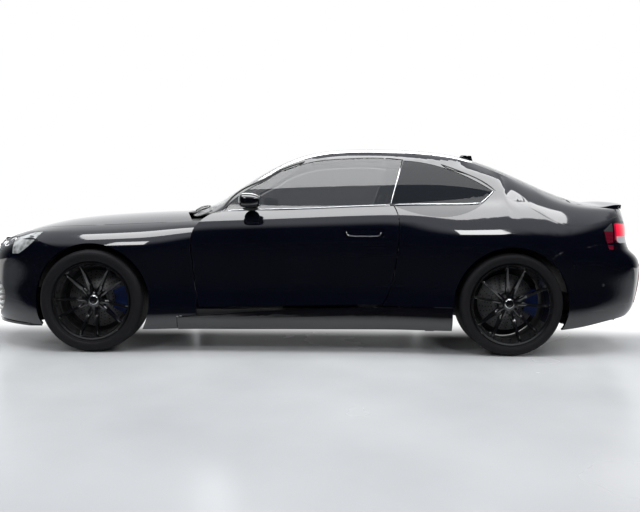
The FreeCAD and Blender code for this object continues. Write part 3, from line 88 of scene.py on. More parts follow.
look((0.0595, -5.235, 0.971), 4.29, 0.6, 37.46)
softbox("overhead", (0.2, -1.1, 3.9), (0.2, -0.6, 0), 6.4, 2.2, 230)
softbox("rear_strip", (2.0, -4.3, 3.5), (1.2, -0.9, 0.8), 1.0, 1.1, 34)
softbox("front_strip", (-2.4, -4.3, 3.5), (-1.4, -0.9, 0.8), 1.3, 1.1, 34)
softbox("back_fill", (0.5, 6.0, 3.6), (0, 0, 0.7), 5.0, 1.6, 110)


# Shader expressions


class Wire:
    """A socket of a material's tree, with Python's operators as its maths nodes."""

    def __init__(self, tree, socket):
        self.tree, self.socket = tree, socket

    def node(self, kind, settings=None, **values):
        """Add a node: settings are its own fields, values the sockets by name or by index as _0, _1."""
        made = self.tree.nodes.new(kind)
        for key, value in (settings or {}).items():
            if key == "stops":
                ramp = made.color_ramp
                while len(ramp.elements) < len(value):
                    ramp.elements.new(0.5)
                for element, (place, colour) in zip(ramp.elements, value):
                    element.position, element.color = place, colour
            else:
                setattr(made, key, value)
        for key, value in values.items():
            socket = made.inputs[int(key[1:])] if key.startswith("_") else made.inputs[key.replace("_", " ")]
            if isinstance(value, Wire):
                self.tree.links.new(value.socket, socket)
            elif value is not None:
                socket.default_value = value
        return made

    def out(self, kind, settings=None, output=0, **values):
        return Wire(self.tree, self.node(kind, settings, **values).outputs[output])

    def maths(self, operation, other=None, third=None):
        return self.out("ShaderNodeMath", {"operation": operation}, _0=self, _1=other, _2=third)

    def __add__(self, other):
        return self.maths("ADD", other)

    def __sub__(self, other):
        return self.maths("SUBTRACT", other)

    def __mul__(self, other):
        return self.maths("MULTIPLY", other)

    def __truediv__(self, other):
        return self.maths("DIVIDE", other)

    def __rsub__(self, other):
        return (self * -1.0) + other

    __radd__, __rmul__ = __add__, __mul__

    def abs(self):
        return self.maths("ABSOLUTE")

    def rise(self, start, end):
        """0 below start and 1 above end, with an eased step between."""
        return self.out("ShaderNodeMapRange", {"interpolation_type": "SMOOTHSTEP"},
                        _0=self, _1=start, _2=end, _3=0.0, _4=1.0)

    def within(self, low, high, ease):
        return self.rise(low - ease, low + ease) * (1 - self.rise(high - ease, high + ease))

    def either(self, other):
        return self.maths("MAXIMUM", other)

    def mix(self, low, high):
        """Colours low to high as this mask goes from 0 to 1."""
        made = self.tree.nodes.new("ShaderNodeMix")
        made.data_type = "RGBA"
        self.tree.links.new(self.socket, made.inputs["Factor"])
        for socket, value in zip((made.inputs[6], made.inputs[7]), (low, high)):
            if isinstance(value, Wire):
                self.tree.links.new(value.socket, socket)
            else:
                socket.default_value = (*value, 1)
        return Wire(self.tree, made.outputs[2])


class Finish:
    """One material: its principled shader, its place on the object and noise read from that place."""

    def __init__(self, name, colour, roughness=0.5, metallic=0.0, **fixed):
        self.material = bpy.data.materials.new(name)
        self.material.use_nodes = True
        tree = self.material.node_tree
        self.shader = tree.nodes["Principled BSDF"]
        self.tree = tree
        self.place = Wire(tree, tree.nodes.new("ShaderNodeTexCoord").outputs["Object"])
        parts = self.place.node("ShaderNodeSeparateXYZ", _0=self.place)
        self.x, self.y, self.z = (Wire(tree, s) for s in parts.outputs)
        self.put(Base_Color=colour, Roughness=roughness, Metallic=metallic, **fixed)

    def put(self, **values):
        for key, value in values.items():
            socket = self.shader.inputs[key.replace("_", " ")]
            if isinstance(value, Wire):
                self.tree.links.new(value.socket, socket)
            elif isinstance(value, tuple):
                socket.default_value = (*value, 1)
            else:
                socket.default_value = value
        return self

    def noise(self, scale, detail=2.0):
        return self.place.out("ShaderNodeTexNoise", _0=self.place, Scale=scale, Detail=detail)

    def cells(self, scale):
        return self.place.out("ShaderNodeTexVoronoi", _0=self.place, Scale=scale)

    def bump(self, height, strength, distance):
        made = self.place.out("ShaderNodeBump", Strength=strength, Distance=distance, Height=height)
        return self.put(Normal=made)

    def polar(self, x, z):
        """Distance and angle about a line across the car."""
        u, v = self.x - x, self.z - z
        return (u * u + v * v).maths("SQRT"), v.maths("ARCTAN2", u)


# Finishes


def scaled(colour, factor):
    return tuple(factor * c for c in colour)


def gloss_paint(name, colour, grain=0.0):
    made = Finish(name, colour, 0.06, Coat_Weight=1.0, Coat_Roughness=0.02)
    cloud = made.noise(2.2, 3.0)
    made.put(Base_Color=cloud.mix(colour, scaled(colour, 1.5)))
    made.put(Roughness=made.noise(9.0) * 0.04 + 0.05)
    return made.bump(made.noise(420.0, 1.0), 0.02 + grain, 0.0004)


def plastic(name, colour, roughness, scale=900.0, depth=0.25):
    made = Finish(name, colour, roughness)
    grain = made.noise(scale, 2.0)
    made.put(Base_Color=made.noise(6.0, 3.0).mix(scaled(colour, 0.75), scaled(colour, 1.2)))
    made.put(Roughness=grain * 0.14 + (roughness - 0.07))
    return made.bump(grain, depth, 0.0006)


def metal(name, colour, roughness, scale=160.0, depth=0.1, metallic=1.0):
    made = Finish(name, colour, roughness, metallic)
    cloud = made.noise(scale, 3.0)
    made.put(Base_Color=cloud.mix(scaled(colour, 0.7), colour), Roughness=cloud * 0.2 + (roughness - 0.1))
    return made.bump(cloud, depth, 0.0005)


def glass(name, colour, alpha, coat=1.0, **fixed):
    made = Finish(name, colour, 0.02, Coat_Weight=coat, Coat_Roughness=0.0, **fixed)
    made.put(Alpha=made.noise(3.0) * 0.02 + (alpha - 0.01))
    return made


def leather(name, colour):
    made = Finish(name, colour, 0.45)
    pores = made.cells(260.0)
    made.put(Base_Color=made.noise(14.0, 4.0).mix(scaled(colour, 0.6), scaled(colour, 1.3)))
    made.put(Roughness=made.noise(40.0) * 0.2 + 0.36)
    return made.bump(pores, 0.35, 0.0010)


body_black, pane_tint, lamp_black = (0.0016, 0.0020, 0.0046), (0.006, 0.008, 0.011), (0.004, 0.004, 0.005)
paint = gloss_paint("black_paint", body_black)
gloss_black = gloss_paint("gloss_black", (0.0022, 0.0023, 0.0034))
satin_black = plastic("satin_black", (0.014, 0.014, 0.015), 0.38)
matt_black = plastic("matt_black", (0.010, 0.010, 0.011), 0.62, 700.0, 0.4)
underside = metal("underside_steel", (0.020, 0.020, 0.022), 0.55, 60.0, 0.3, 0.0)
cast = metal("cast_metal", (0.10, 0.10, 0.10), 0.55, 220.0, 0.5, 0.8)
cast_alloy = metal("cast_alloy", (0.42, 0.42, 0.43), 0.5, 180.0, 0.5, 0.9)
side_glass = glass("side_glass", (0.006, 0.009, 0.012), 0.60)
quarter_glass = glass("quarter_glass", pane_tint, 0.94, 0.12, Specular_IOR_Level=0.15)
# The pane's solid hangs below the quarter strip; that part is painted like the body
below_belt = (quarter_glass.x * 0.0294 + 0.9678 - quarter_glass.z).rise(-0.002, 0.002)
quarter_glass.put(Base_Color=below_belt.mix(pane_tint, body_black))
quarter_glass.put(Alpha=below_belt * 0.06 + 0.94, Coat_Weight=below_belt * 0.88 + 0.12)
screen_glass = glass("screen_glass", (0.030, 0.036, 0.036), 0.42)
clear_lens = glass("clear_lens", (0.55, 0.57, 0.60), 0.16)
soft_trim = plastic("cabin_trim", (0.020, 0.020, 0.021), 0.55, 1400.0, 0.4)
seat_leather = leather("seat_leather", (0.016, 0.016, 0.017))
wheel_leather = leather("wheel_leather", (0.012, 0.012, 0.012))
bright = metal("bright_trim", (0.75, 0.76, 0.78), 0.18, 300.0, 0.02)
mirror_glass = metal("mirror_glass", (0.80, 0.82, 0.84), 0.12, 4.0, 0.0)
steel = metal("brushed_steel", (0.30, 0.29, 0.28), 0.34, 90.0, 0.08)


# The body's shape, in millimetres: the same curves as the solids, for smooth shading across the panels

roof_height, half_width, half_length = 1403.0, 889.0, 2290.0
axle = {"front": (-1432.0, 337.5), "rear": (1315.0, 339.5)}
track = {"front": 808.5, "rear": 802.5}
tyre_size = {"front": (337.5, 131.0, 254.0), "rear": (339.5, 135.0, 267.0)}
x_anchors = ((-1, -0.62533, 0.574236, 1), (-half_length, axle["front"][0], axle["rear"][0], half_length))
z_anchors = ((0, 0.509979, 1), (0, 715.5, roof_height))
crown = 700.0
belt_slope = 0.040
taper_share, nose_power = 0.30568, 4.5


def along(share):
    return float(np.interp(share, *x_anchors)) if -1 <= share <= 1 else beyond(share)


def beyond(share):
    """Past the ends the end's own scale goes on."""
    a, b = (0, 1) if share < 0 else (2, 3)
    (s, t), (p, q) = (x_anchors[0][a], x_anchors[0][b]), (x_anchors[1][a], x_anchors[1][b])
    return p + (q - p) * (share - s) / (t - s)


def up(share):
    return float(np.interp(share, *z_anchors))


class Curve:
    """A natural cubic spline through pairs of a place and a value."""

    def __init__(self, pairs, place, scale):
        self.at = np.array([place(a) for a, b in pairs])
        self.values = np.array([b * scale for a, b in pairs])
        n, self.step = len(pairs), np.diff(self.at)
        slope = np.diff(self.values) / self.step
        matrix, right = np.eye(n), np.zeros(n)
        for i in range(1, n - 1):
            matrix[i, i - 1:i + 2] = self.step[i - 1], 2 * (self.step[i - 1] + self.step[i]), self.step[i]
            right[i] = 6 * (slope[i] - slope[i - 1])
        self.bend = np.linalg.solve(matrix, right)
        first, last = self.step[0] * self.bend[1] / 6, self.step[-1] * self.bend[-2] / 6
        self.ends = slope[0] - first, slope[-1] + last

    def __call__(self, place):
        place = np.asarray(place, float)
        i = np.clip(np.searchsorted(self.at, place) - 1, 0, len(self.step) - 1)
        h = self.step[i]
        inside = np.clip(place, self.at[0], self.at[-1])
        a, b = (self.at[i + 1] - inside) / h, (inside - self.at[i]) / h
        value = a * self.values[i] + b * self.values[i + 1]
        value = value + ((a**3 - a) * self.bend[i] + (b**3 - b) * self.bend[i + 1]) * h * h / 6
        before, after = np.minimum(place - self.at[0], 0), np.maximum(place - self.at[-1], 0)
        return value + before * self.ends[0] + after * self.ends[1]


def raised(pairs):
    return [(a, up(b)) for a, b in pairs]


side_profile = Curve([
    (0.085, -0.52), (0.107, -0.34), (0.1425, -0.12), (0.214, -0.06), (0.299, -0.16), (0.399, -0.1),
    (0.475, -0.02), (0.53, 0), (0.578, -0.05), (0.612, -0.18), (0.642, -0.42), (0.672, -0.82),
    (0.705, -1.5), (0.745, -2.5), (0.785, -3.6), (0.85, -5.6),
], up, 100)
nose_back = Curve([
    (0.085, 0.9), (0.1425, 0.38), (0.228, 0.07), (0.321, 0), (0.399, 0.05), (0.463, 0.3), (0.502, 0.9),
    (0.524, 1.42), (0.5545, 2.4), (0.593, 3.85),
], up, 100)
tail_back = Curve([
    (0.107, 1), (0.171, 0.45), (0.242, 0.15), (0.342, 0), (0.4205, 0.04), (0.463, 0.26), (0.492, 0.66),
    (0.527, 0.84), (0.57, 0.87), (0.627, 0.8), (0.677, 0.74), (0.72, 0.78),
], up, 100)
tail_power = Curve([
    (0.107, 4.6), (0.164, 5.4), (0.214, 6.3), (0.3, 6.9), (0.463, 7), (0.5, 6.6), (0.54, 6.1), (0.59, 5.7),
    (0.64, 4.9), (0.68, 4.3), (0.72, 3.9),
], up, 1)
hood_line = Curve(raised([
    (-1.02, 0.43), (-0.987, 0.467), (-0.961, 0.5025), (-0.937, 0.524), (-0.895, 0.5545), (-0.832, 0.593),
    (-0.721, 0.626), (-0.5855, 0.645), (-0.4585, 0.657), (-0.393, 0.661), (-0.306, 0.665), (-0.2, 0.668),
]), along, 1)
roof_line = Curve(raised([
    (-0.5, 0.557), (-0.415, 0.625), (-0.317, 0.704), (-0.214, 0.812), (-0.111, 0.911), (-0.008, 0.972),
    (0.095, 0.995), (0.197, 1), (0.3, 0.997), (0.4375, 0.977), (0.541, 0.938), (0.643, 0.876),
    (0.746, 0.802), (0.815, 0.757), (0.883, 0.729), (0.961, 0.7155), (1.03, 0.706),
]), along, 1)
hood_crown = Curve([
    (-1, 0.02), (-0.9, 0.05), (-0.75, 0.086), (-0.45, 0.1), (-0.25, 0.09),
], along, crown)
roof_crown = Curve([
    (-0.45, 0.02), (-0.2, 0.045), (0.05, 0.105), (0.45, 0.11), (0.75, 0.06), (1, 0.045),
], along, crown)
roof_sweep = Curve([
    (-0.45, -0.165), (-0.2, -0.16), (0.05, -0.12), (0.25, 0), (0.5, 0.24), (0.75, 0.3), (1, 0.3),
], along, crown)
roof_round = Curve([
    (-0.45, 0.055), (-0.1, 0.065), (0.3, 0.1), (0.55, 0.16), (0.82, 0.12), (0.92, 0.045),
], along, crown)
front_round = Curve([
    (-0.93, 0.03), (-0.85, 0.035), (-0.79, 0.06), (-0.72, 0.12), (-0.6255, 0.15), (-0.4, 0.13),
    (-0.3, 0.1),
], along, crown)


def eased(t):
    t = np.clip(t, 0, 1)
    return t * t * t * (t * (6 * t - 15) + 10)


def plateau(x, middle, flat, lead, trail):
    return 1 - eased((np.abs(x - middle) - flat) / np.where(x < middle, lead, trail))


def belt(x):
    return up(0.67712) + belt_slope * x


def glass_side(x, z):
    rise = z - belt(x)
    bow = 34.0 * ((x - along(0.15284)) / 1000.0) ** 2
    return half_width - 86.0 - bow - 0.45 * rise - rise * np.abs(rise) / 2500.0


def flank(x, z):
    """Half width of the body side, with the flares and the glass above."""
    lift = belt_slope * x * eased((z - up(0.39914)) / 300.0)
    lower = half_width + side_profile(z - lift)
    top = up(0.52032)
    lower = lower + 56.0 * plateau(x, axle["front"][0], 260.0, 480.0, 480.0) * (1 - eased((z - top) / 170.0))
    lower = lower + 54.0 * plateau(x, axle["rear"][0], 260.0, 620.0, 560.0) * (1 - eased((z - top) / 230.0))
    upper = glass_side(x, z)
    gap = (lower - upper) / 12.0
    joined = upper + 12.0 * np.where(gap > 30, gap, np.log1p(np.exp(np.clip(gap, -60, 30))))
    return lower + eased((z - belt(x) + 95.0) / 65.0) * (joined - lower)


def nose_x(z):
    return nose_back(z) - half_length


def tail_x(z):
    return half_length - tail_back(z)


def drawn_in(x, z):
    """1 along the flanks, less as the plan draws in at the nose and tail."""
    share = np.ones(np.broadcast(x, z).shape)
    for start, end, power in ((-taper_share, nose_x(z), nose_power), (taper_share, tail_x(z), tail_power(z))):
        start = along(start)
        t = np.clip((x - start) / (end - start), 0, 1)
        share = share * np.maximum(0, 1 - t**power) ** (1 / power)
    return share


def side(x, z):
    return flank(x, z) * drawn_in(x, z)


def hood_top(x, y):
    return hood_line(x) - hood_crown(x) * (np.abs(y) / crown) ** 2.2


def roof_top(x, y):
    share = (y / crown) ** 2
    return roof_line(x + roof_sweep(x) * share) - roof_crown(x) * share


def wrapped(z, w, start_share, end, power):
    start = along(start_share)
    x = start + (1 - np.abs(w) ** power) ** (1 / power) * (end(z) - start)
    return np.stack([x, w * flank(x, z), z + 0 * x], -1)


def nose_at(z, w):
    return wrapped(z, w, -taper_share, nose_x, nose_power)


def tail_at(z, w):
    return wrapped(z, w, taper_share, tail_x, tail_power(z))


# Smooth surfaces that lend their normals to the panels


def section(x, top, radius, low):
    """Half of the body across x: up the side, round the shoulder and over to the middle."""
    a, b = 0.4 * roof_height, 1.1 * roof_height
    for _ in range(40):
        z = (a + b) / 2
        a, b = (z, b) if z < top(x, side(x, z)) else (a, z)
    y, end = float(side(x, z)), z - float(radius(x))
    waist = min(float(belt(x)) - 110, end - 170)
    crest = min(waist + 190, end - 60)
    heights = np.concatenate([
        np.linspace(low, waist, 50)[:-1], np.linspace(waist, crest, 50)[:-1], np.linspace(crest, end, 24),
    ])
    start = float(side(x, end))
    reach = y - float(radius(x))
    high = float(top(x, reach))
    t = np.linspace(0, 1, 14)[1:-1]
    bend_y = (1 - t) ** 2 * start + 2 * t * (1 - t) * y + t * t * reach
    bend_z = (1 - t) ** 2 * end + 2 * t * (1 - t) * z + t * t * high
    over = np.linspace(reach, 0, 24)
    ys = np.concatenate([side(x, heights), bend_y, over])
    zs = np.concatenate([heights, bend_z, top(x, over)])
    return np.stack([np.full(len(ys), x), -ys, zs], -1)


def span(shares, place, count):
    return np.linspace(place(shares[0]), place(shares[1]), count)


def sections(x_shares, top, radius, low, count):
    return np.array([section(x, top, radius, low) for x in span(x_shares, along, count)])


def side_grid(x_shares, z_shares, across_count=90, up_count=150):
    x, z = np.meshgrid(span(x_shares, along, across_count), span(z_shares, up, up_count), indexing="ij")
    return np.stack([x, -side(x, z), z], -1)


def top_grid(top, x_shares, half_share, count=70):
    y = np.linspace(-half_share, half_share, count) * half_width
    x, y = np.meshgrid(span(x_shares, along, count), y, indexing="ij")
    return np.stack([x, y, top(x, y)], -1)


ring_turn = math.pi / 2 * 0.9
ring_shares = np.sin(np.linspace(-1, 1, 141) * ring_turn) / math.sin(ring_turn) * 0.992


def ring_grid(at, low, high, count=60):
    z, share = np.meshgrid(np.linspace(low, high, count), ring_shares, indexing="ij")
    return at(z, share)


EVEN_ROUNDS = 16
FACING = math.cos(math.radians(42))


class Master:
    """A smooth surface that gives the normal at the place nearest to a point."""

    def __init__(self, grid, both_sides=False, inward=0.0):
        grid = grid * MM
        a, b = np.gradient(grid, axis=0), np.gradient(grid, axis=1)
        normal = np.cross(a, b)
        normal /= np.maximum(np.linalg.norm(normal, axis=-1, keepdims=True), 1e-12)
        for _ in range(EVEN_ROUNDS):
            for axis in (0, 1):
                wider = np.pad(normal, [(1, 1) if k == axis else (0, 0) for k in range(3)], mode="edge")
                before, after = (np.take(wider, range(s, s + normal.shape[axis]), axis=axis) for s in (0, 2))
                normal = before + 2 * normal + after
            normal /= np.linalg.norm(normal, axis=-1, keepdims=True)
        middle = normal[grid.shape[0] // 2, grid.shape[1] // 2]
        outward = grid[grid.shape[0] // 2, grid.shape[1] // 2] - np.array([0, 0, 0.5])
        if middle @ outward < 0:
            normal = -normal
        grid = grid - normal * inward * MM
        rows, columns = grid.shape[:2]
        self.points = [Vector(p) for p in grid.reshape(-1, 3)]
        self.normals = [Vector(p) for p in normal.reshape(-1, 3)]
        self.faces = []
        for i in range(rows - 1):
            for j in range(columns - 1):
                k = i * columns + j
                self.faces += [(k, k + 1, k + columns), (k + 1, k + columns + 1, k + columns)]
        self.tree = BVHTree.FromPolygons(self.points, self.faces)
        self.both_sides = both_sides

    def near(self, point, reach):
        """(distance, normal) or None; a master of one side serves the other side as its mirror image."""
        flip = self.both_sides and point.y > 0
        asked = Vector((point.x, -point.y, point.z)) if flip else point
        place, _, index, distance = self.tree.find_nearest(asked, reach)
        if place is None:
            return None
        points, normals = ([list_of[c] for c in self.faces[index]] for list_of in (self.points, self.normals))
        made = barycentric_transform(place, *points, *normals).normalized()
        return distance, Vector((made.x, -made.y, made.z)) if flip else made


def merged(name, node):
    """A copy of a node's mesh with its loose triangles joined."""
    mesh = nodes[node].data.copy()
    mesh.name = name
    work = bmesh.new()
    work.from_mesh(mesh)
    bmesh.ops.remove_doubles(work, verts=work.verts, dist=2e-5)
    work.to_mesh(mesh)
    work.free()
    return mesh


def shade(mesh, masters=(), sharp=32, reach=0.030):
    """Smooth shading, with sharp edges by angle and the masters' normals on the outer skin."""
    for face in mesh.polygons:
        face.use_smooth = True
    mesh.set_sharp_from_angle(angle=math.radians(sharp))
    if not masters:
        return
    plain = [Vector(n.vector) for n in mesh.corner_normals]
    found = np.zeros((len(mesh.vertices), 3))
    for k, vertex in enumerate(mesh.vertices):
        hits = [h for h in (m.near(vertex.co, reach) for m in masters) if h]
        if hits:
            found[k] = min(hits, key=lambda h: h[0])[1]
    for face in mesh.polygons:
        for loop in face.loop_indices:
            smooth_normal = Vector(found[mesh.loops[loop].vertex_index])
            if smooth_normal.dot(face.normal) > FACING:
                plain[loop] = smooth_normal
    mesh.normals_split_custom_set(plain)


def linked(name, mesh):
    """A new object of this mesh in the scene."""
    piece = bpy.data.objects.new(name, mesh)
    scene.collection.objects.link(piece)
    return piece


def stand_in(node, material, masters=(), sharp=32):
    """The node's own shape as a smooth piece with a real finish."""
    mesh = merged(f"{node}_skin", node)
    shade(mesh, masters, sharp)
    mesh.materials.clear()
    mesh.materials.append(material.material)
    piece = linked(f"{node}_skin", mesh)
    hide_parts(node)
    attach(piece, nodes[node]["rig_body"])


def make(name, points, faces, material, body, sharp=35):
    """A piece from points in millimetres, riding on a body."""
    mesh = bpy.data.meshes.new(name)
    mesh.from_pydata([(x * MM, y * MM, z * MM) for x, y, z in points], [], faces)
    work = bmesh.new()
    work.from_mesh(mesh)
    bmesh.ops.recalc_face_normals(work, faces=work.faces)
    work.to_mesh(mesh)
    work.free()
    shade(mesh, sharp=sharp)
    mesh.materials.append(material.material)
    piece = linked(name, mesh)
    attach(piece, body)
    return piece


def smooth_line(points, count):
    """Points along a smooth curve through the given ones."""
    points = np.array(points, float)
    at = np.concatenate([[0], np.cumsum(np.linalg.norm(np.diff(points, axis=0), axis=1))])
    if len(points) == 2:
        return np.linspace(points[0], points[1], count)
    curves = [Curve(list(zip(at, points[:, k])), float, 1) for k in range(3)]
    places = np.linspace(0, at[-1], count)
    return np.stack([curve(places) for curve in curves], -1)


def strip(name, points, wide, deep, material, body, out=(0, -1, 0), count=60, steps=10):
    """A rounded strip along a curve: wide across it, and deep in the direction out."""
    line = smooth_line(points, count)
    ahead = np.gradient(line, axis=0)
    ahead /= np.linalg.norm(ahead, axis=1, keepdims=True)
    out = np.array(out, float)
    side_way = np.cross(ahead, out)
    side_way /= np.linalg.norm(side_way, axis=1, keepdims=True)
    lift = np.cross(side_way, ahead)
    verts, faces = [], []
    for i, place in enumerate(line):
        taper = min(1.0, 0.25 + min(i, count - 1 - i) * 0.4)
        for k in range(steps):
            a = 2 * math.pi * k / steps
            across_it, out_of_it = math.cos(a) * wide / 2 * taper, math.sin(a) * deep / 2 * taper
            verts.append(place + side_way[i] * across_it + lift[i] * out_of_it)
    for i in range(count - 1):
        for k in range(steps):
            j = (k + 1) % steps
            faces.append((i * steps + k, i * steps + j, (i + 1) * steps + j, (i + 1) * steps + k))
    faces += [tuple(range(steps)), tuple(range((count - 1) * steps, count * steps))]
    return make(name, verts, faces, material, body)


def sheet(name, grid, thick, material, body):
    """A closed thin sheet over a grid of places; thick is the step from one face to the other."""
    rows, columns = grid.shape[:2]
    points = np.concatenate([grid.reshape(-1, 3), (grid + np.array(thick)).reshape(-1, 3)])
    far, faces = rows * columns, []
    for i in range(rows - 1):
        for j in range(columns - 1):
            k = i * columns + j
            square = (k, k + 1, k + columns + 1, k + columns)
            faces += [square, tuple(far + corner for corner in reversed(square))]
    rim = list(range(columns)) + [i * columns + columns - 1 for i in range(1, rows)]
    rim += [(rows - 1) * columns + j for j in range(columns - 2, -1, -1)]
    rim += [i * columns for i in range(rows - 2, 0, -1)]
    faces += [(rim[k - 1], rim[k], far + rim[k], far + rim[k - 1]) for k in range(len(rim))]
    return make(name, points, faces, material, body)


def on_side(places, sign, proud=1.5):
    """Places (x, z) on the flank of one side."""
    return [(x, sign * (float(side(x, z)) + proud), z) for x, z in places]


def bulb(name, centre, half, powers, material, body, rows=28, columns=44, bend=None, sharp=40):
    """A closed form with rounded corners; its powers say how square it is in plan and in height."""
    points, faces = [], []
    grip = lambda v, p: math.copysign(abs(v) ** (2 / p), v)
    for i in range(1, rows):
        b = -math.pi / 2 + math.pi * i / rows
        for k in range(columns):
            a = 2 * math.pi * k / columns
            round_it = grip(math.cos(b), powers[1])
            points.append([round_it * grip(math.cos(a), powers[0]), round_it * grip(math.sin(a), powers[0]),
                           grip(math.sin(b), powers[1])])
    points += [[0, 0, -1], [0, 0, 1]]
    last = len(points)
    for i in range(rows - 2):
        for k in range(columns):
            j = (k + 1) % columns
            faces.append((i * columns + k, i * columns + j, (i + 1) * columns + j, (i + 1) * columns + k))
    for k in range(columns):
        j = (k + 1) % columns
        faces += [(k, j, last - 2), ((rows - 2) * columns + k, (rows - 2) * columns + j, last - 1)]
    placed = []
    for p in points:
        p = bend(p) if bend else p
        placed.append([centre[k] + half[k] * p[k] for k in range(3)])
    return make(name, placed, faces, material, body, sharp)


# Painted shell

lid_front = Curve([(-526, 1806), (-300, 1844), (0, 1856), (300, 1844), (526, 1806)], float, 1)


def deck_height(w):
    a, b = np.full_like(w, up(0.6)), np.full_like(w, up(0.8))
    for _ in range(40):
        z = (a + b) / 2
        p = tail_at(z, w)
        below = z < roof_top(p[..., 0], p[..., 1])
        a, b = np.where(below, z, a), np.where(below, b, z)
    return z


def deck_grid(count=60):
    y = np.linspace(-0.64, 0.64, count) * half_width
    w = y / half_width
    end = tail_at(deck_height(w), w)[:, 0] + 6.0
    start = lid_front(y)
    share = np.linspace(0, 1, count)[:, None]
    x = start + (end - start) * share
    return np.stack([x, y + 0 * x, roof_top(x, y) + 26.0 * eased((x - end + 170.0) / 170.0)], -1)


front_master = Master(sections((-0.95, -0.25), hood_top, front_round, 150.0, 120), True)
cabin_master = Master(sections((-0.31, 0.93), roof_top, roof_round, 0.2 * roof_height, 190), True)
side_master = Master(side_grid((-0.45, 0.45), (0.10, 0.74)), True)
nose_master = Master(ring_grid(nose_at, 165.0, 800.0))
tail_master = Master(ring_grid(tail_at, 165.0, 900.0))
tail_high_master = Master(ring_grid(tail_at, 650.0, 1030.0))
hood_master = Master(top_grid(hood_top, (-0.98, -0.33), 0.84))
roof_master = Master(top_grid(roof_top, (-0.42, 0.86), 0.80, 110))
deck_master = Master(deck_grid())
pane_master = Master(side_grid((-0.31, 0.58), (0.63, 0.95)), True, 3.0)

stand_in("bonnet", paint, [hood_master])
stand_in("roof_panel", paint, [roof_master])
stand_in("front_bumper", paint, [nose_master])
stand_in("rear_bumper", paint, [tail_master])
stand_in("boot_lid", paint, [deck_master, tail_high_master])
for hand in ("left", "right"):
    stand_in(f"fender_{hand}", paint, [front_master])
    stand_in(f"side_frame_{hand}", paint, [cabin_master, tail_high_master])
    stand_in(f"door_{hand}", paint, [side_master])
    stand_in(f"door_glass_{hand}", side_glass, [pane_master])
stand_in("side_skirts", gloss_black, sharp=28)
stand_in("quarter_glass", quarter_glass, [pane_master])
stand_in("windscreen", screen_glass, [roof_master])
stand_in("rear_window", side_glass, [roof_master])
stand_in("headlamp_lenses", clear_lens, [nose_master])
stand_in("diffuser", gloss_black, [tail_master])
stand_in("front_splitter", gloss_black)
stand_in("antenna", gloss_black, sharp=50)
stand_in("grille", gloss_black)

# Lamps

tail_red = Finish("tail_lamp_lens", (0.20, 0.004, 0.004), 0.05, Coat_Weight=1.0, Emission_Strength=1.0)
rearward, upper = tail_red.x.rise(2.008, 2.016), tail_red.z.rise(0.786, 0.792)
lowest = 1 - tail_red.z.rise(0.742, 0.748)
pipes = (tail_red.z * 420.0).maths("SINE").rise(-0.2, 0.2)
deep_red, hot_red = pipes.mix((0.10, 0.002, 0.004), (0.20, 0.004, 0.008)), (0.80, 0.010, 0.045)
zone = rearward.mix(deep_red, upper.mix((0.62, 0.62, 0.64), hot_red))
tail_red.put(Base_Color=lowest.mix(zone, (0.004, 0.004, 0.006)))
tail_red.put(Emission_Color=(rearward * upper).mix((0.0, 0.0, 0.0), (0.55, 0.004, 0.025)))
tail_red.bump(tail_red.cells(240.0), 0.05, 0.0008)
stand_in("tail_lamps", tail_red, [tail_master])
lamp_case = Finish("headlamp_case", (0.5, 0.5, 0.52), 0.22, 0.9)
front_zone = 1 - lamp_case.x.rise(-2.020, -2.012)
facets = lamp_case.cells(70.0)
silvered = facets.mix((0.30, 0.31, 0.33), (0.95, 0.96, 0.98))
lamp_case.put(Base_Color=front_zone.mix(silvered, lamp_black), Metallic=0.9 - front_zone * 0.9)
lamp_case.put(Roughness=facets * 0.2 + 0.10)
lamp_case.bump(facets, 0.6, 0.004)
stand_in("headlamp_units", lamp_case)
lamp_light = Finish("daytime_light", (0.9, 0.9, 0.92), 0.2, Emission_Strength=1.0)
lamp_light.put(Emission_Color=lamp_light.noise(30.0).mix((0.80, 0.82, 0.86), (1.0, 1.0, 1.0)))
dark_glass = Finish("projector_glass", (0.10, 0.11, 0.13), 0.04, Coat_Weight=1.0)
dark_glass.put(Base_Color=dark_glass.noise(20.0).mix((0.05, 0.055, 0.07), (0.20, 0.21, 0.24)))


def on_nose(w, z, inward):
    """A place inside the nose's surface at this share of the half width and height."""
    place = nose_at(np.array(float(z)), np.array(float(w)))
    return np.array([place[0] + inward * 0.75, place[1] - math.copysign(inward * 0.6, w), place[2]])


for hand, sign in (("left", -1), ("right", 1)):
    for k, (w, z) in enumerate(((0.71, 680.0), (0.795, 706.0))):
        bulb(f"headlamp_projector_{hand}_{k + 1}", on_nose(sign * w, z, 17.0), (17, 17, 17), (2, 2),
             dark_glass, "body", 16, 24)
        ring_line = [on_nose(sign * (w + 0.030 * math.cos(a)), z + 27 * math.sin(a), 9.0)
                     for a in np.linspace(0.2, 5.6, 12)]
        strip(f"headlamp_pipe_{hand}_{k + 1}", ring_line, 5, 5, lamp_light, "body",
              out=(-0.8, 0.6 * sign, 0), count=48, steps=8)

# The lamps' corners run on along the flanks, past the solids' lenses, as thin covers on the skin


def lamp_corner(name, master, low_edge, high_edge, sign, material, proud, columns=40, rows=14):
    """A thin cover on the flank between two edges of (x, z) places with the same ends."""
    x = np.linspace(low_edge[0][0], low_edge[-1][0], columns)
    low_z, high_z = (np.interp(x, *zip(*edge)) for edge in (low_edge, high_edge))
    grid = np.zeros((columns, rows, 3))
    for i in range(columns):
        for j, z in enumerate(np.linspace(low_z[i], high_z[i], rows)):
            place = master.tree.ray_cast(Vector((x[i] * MM, -1.3, z * MM)), Vector((0, 1, 0)))[0]
            grid[i, j] = x[i], sign * (proud - place.y / MM), z
    sheet(name, grid, (0, -2 * proud * sign, 0), material, "body")


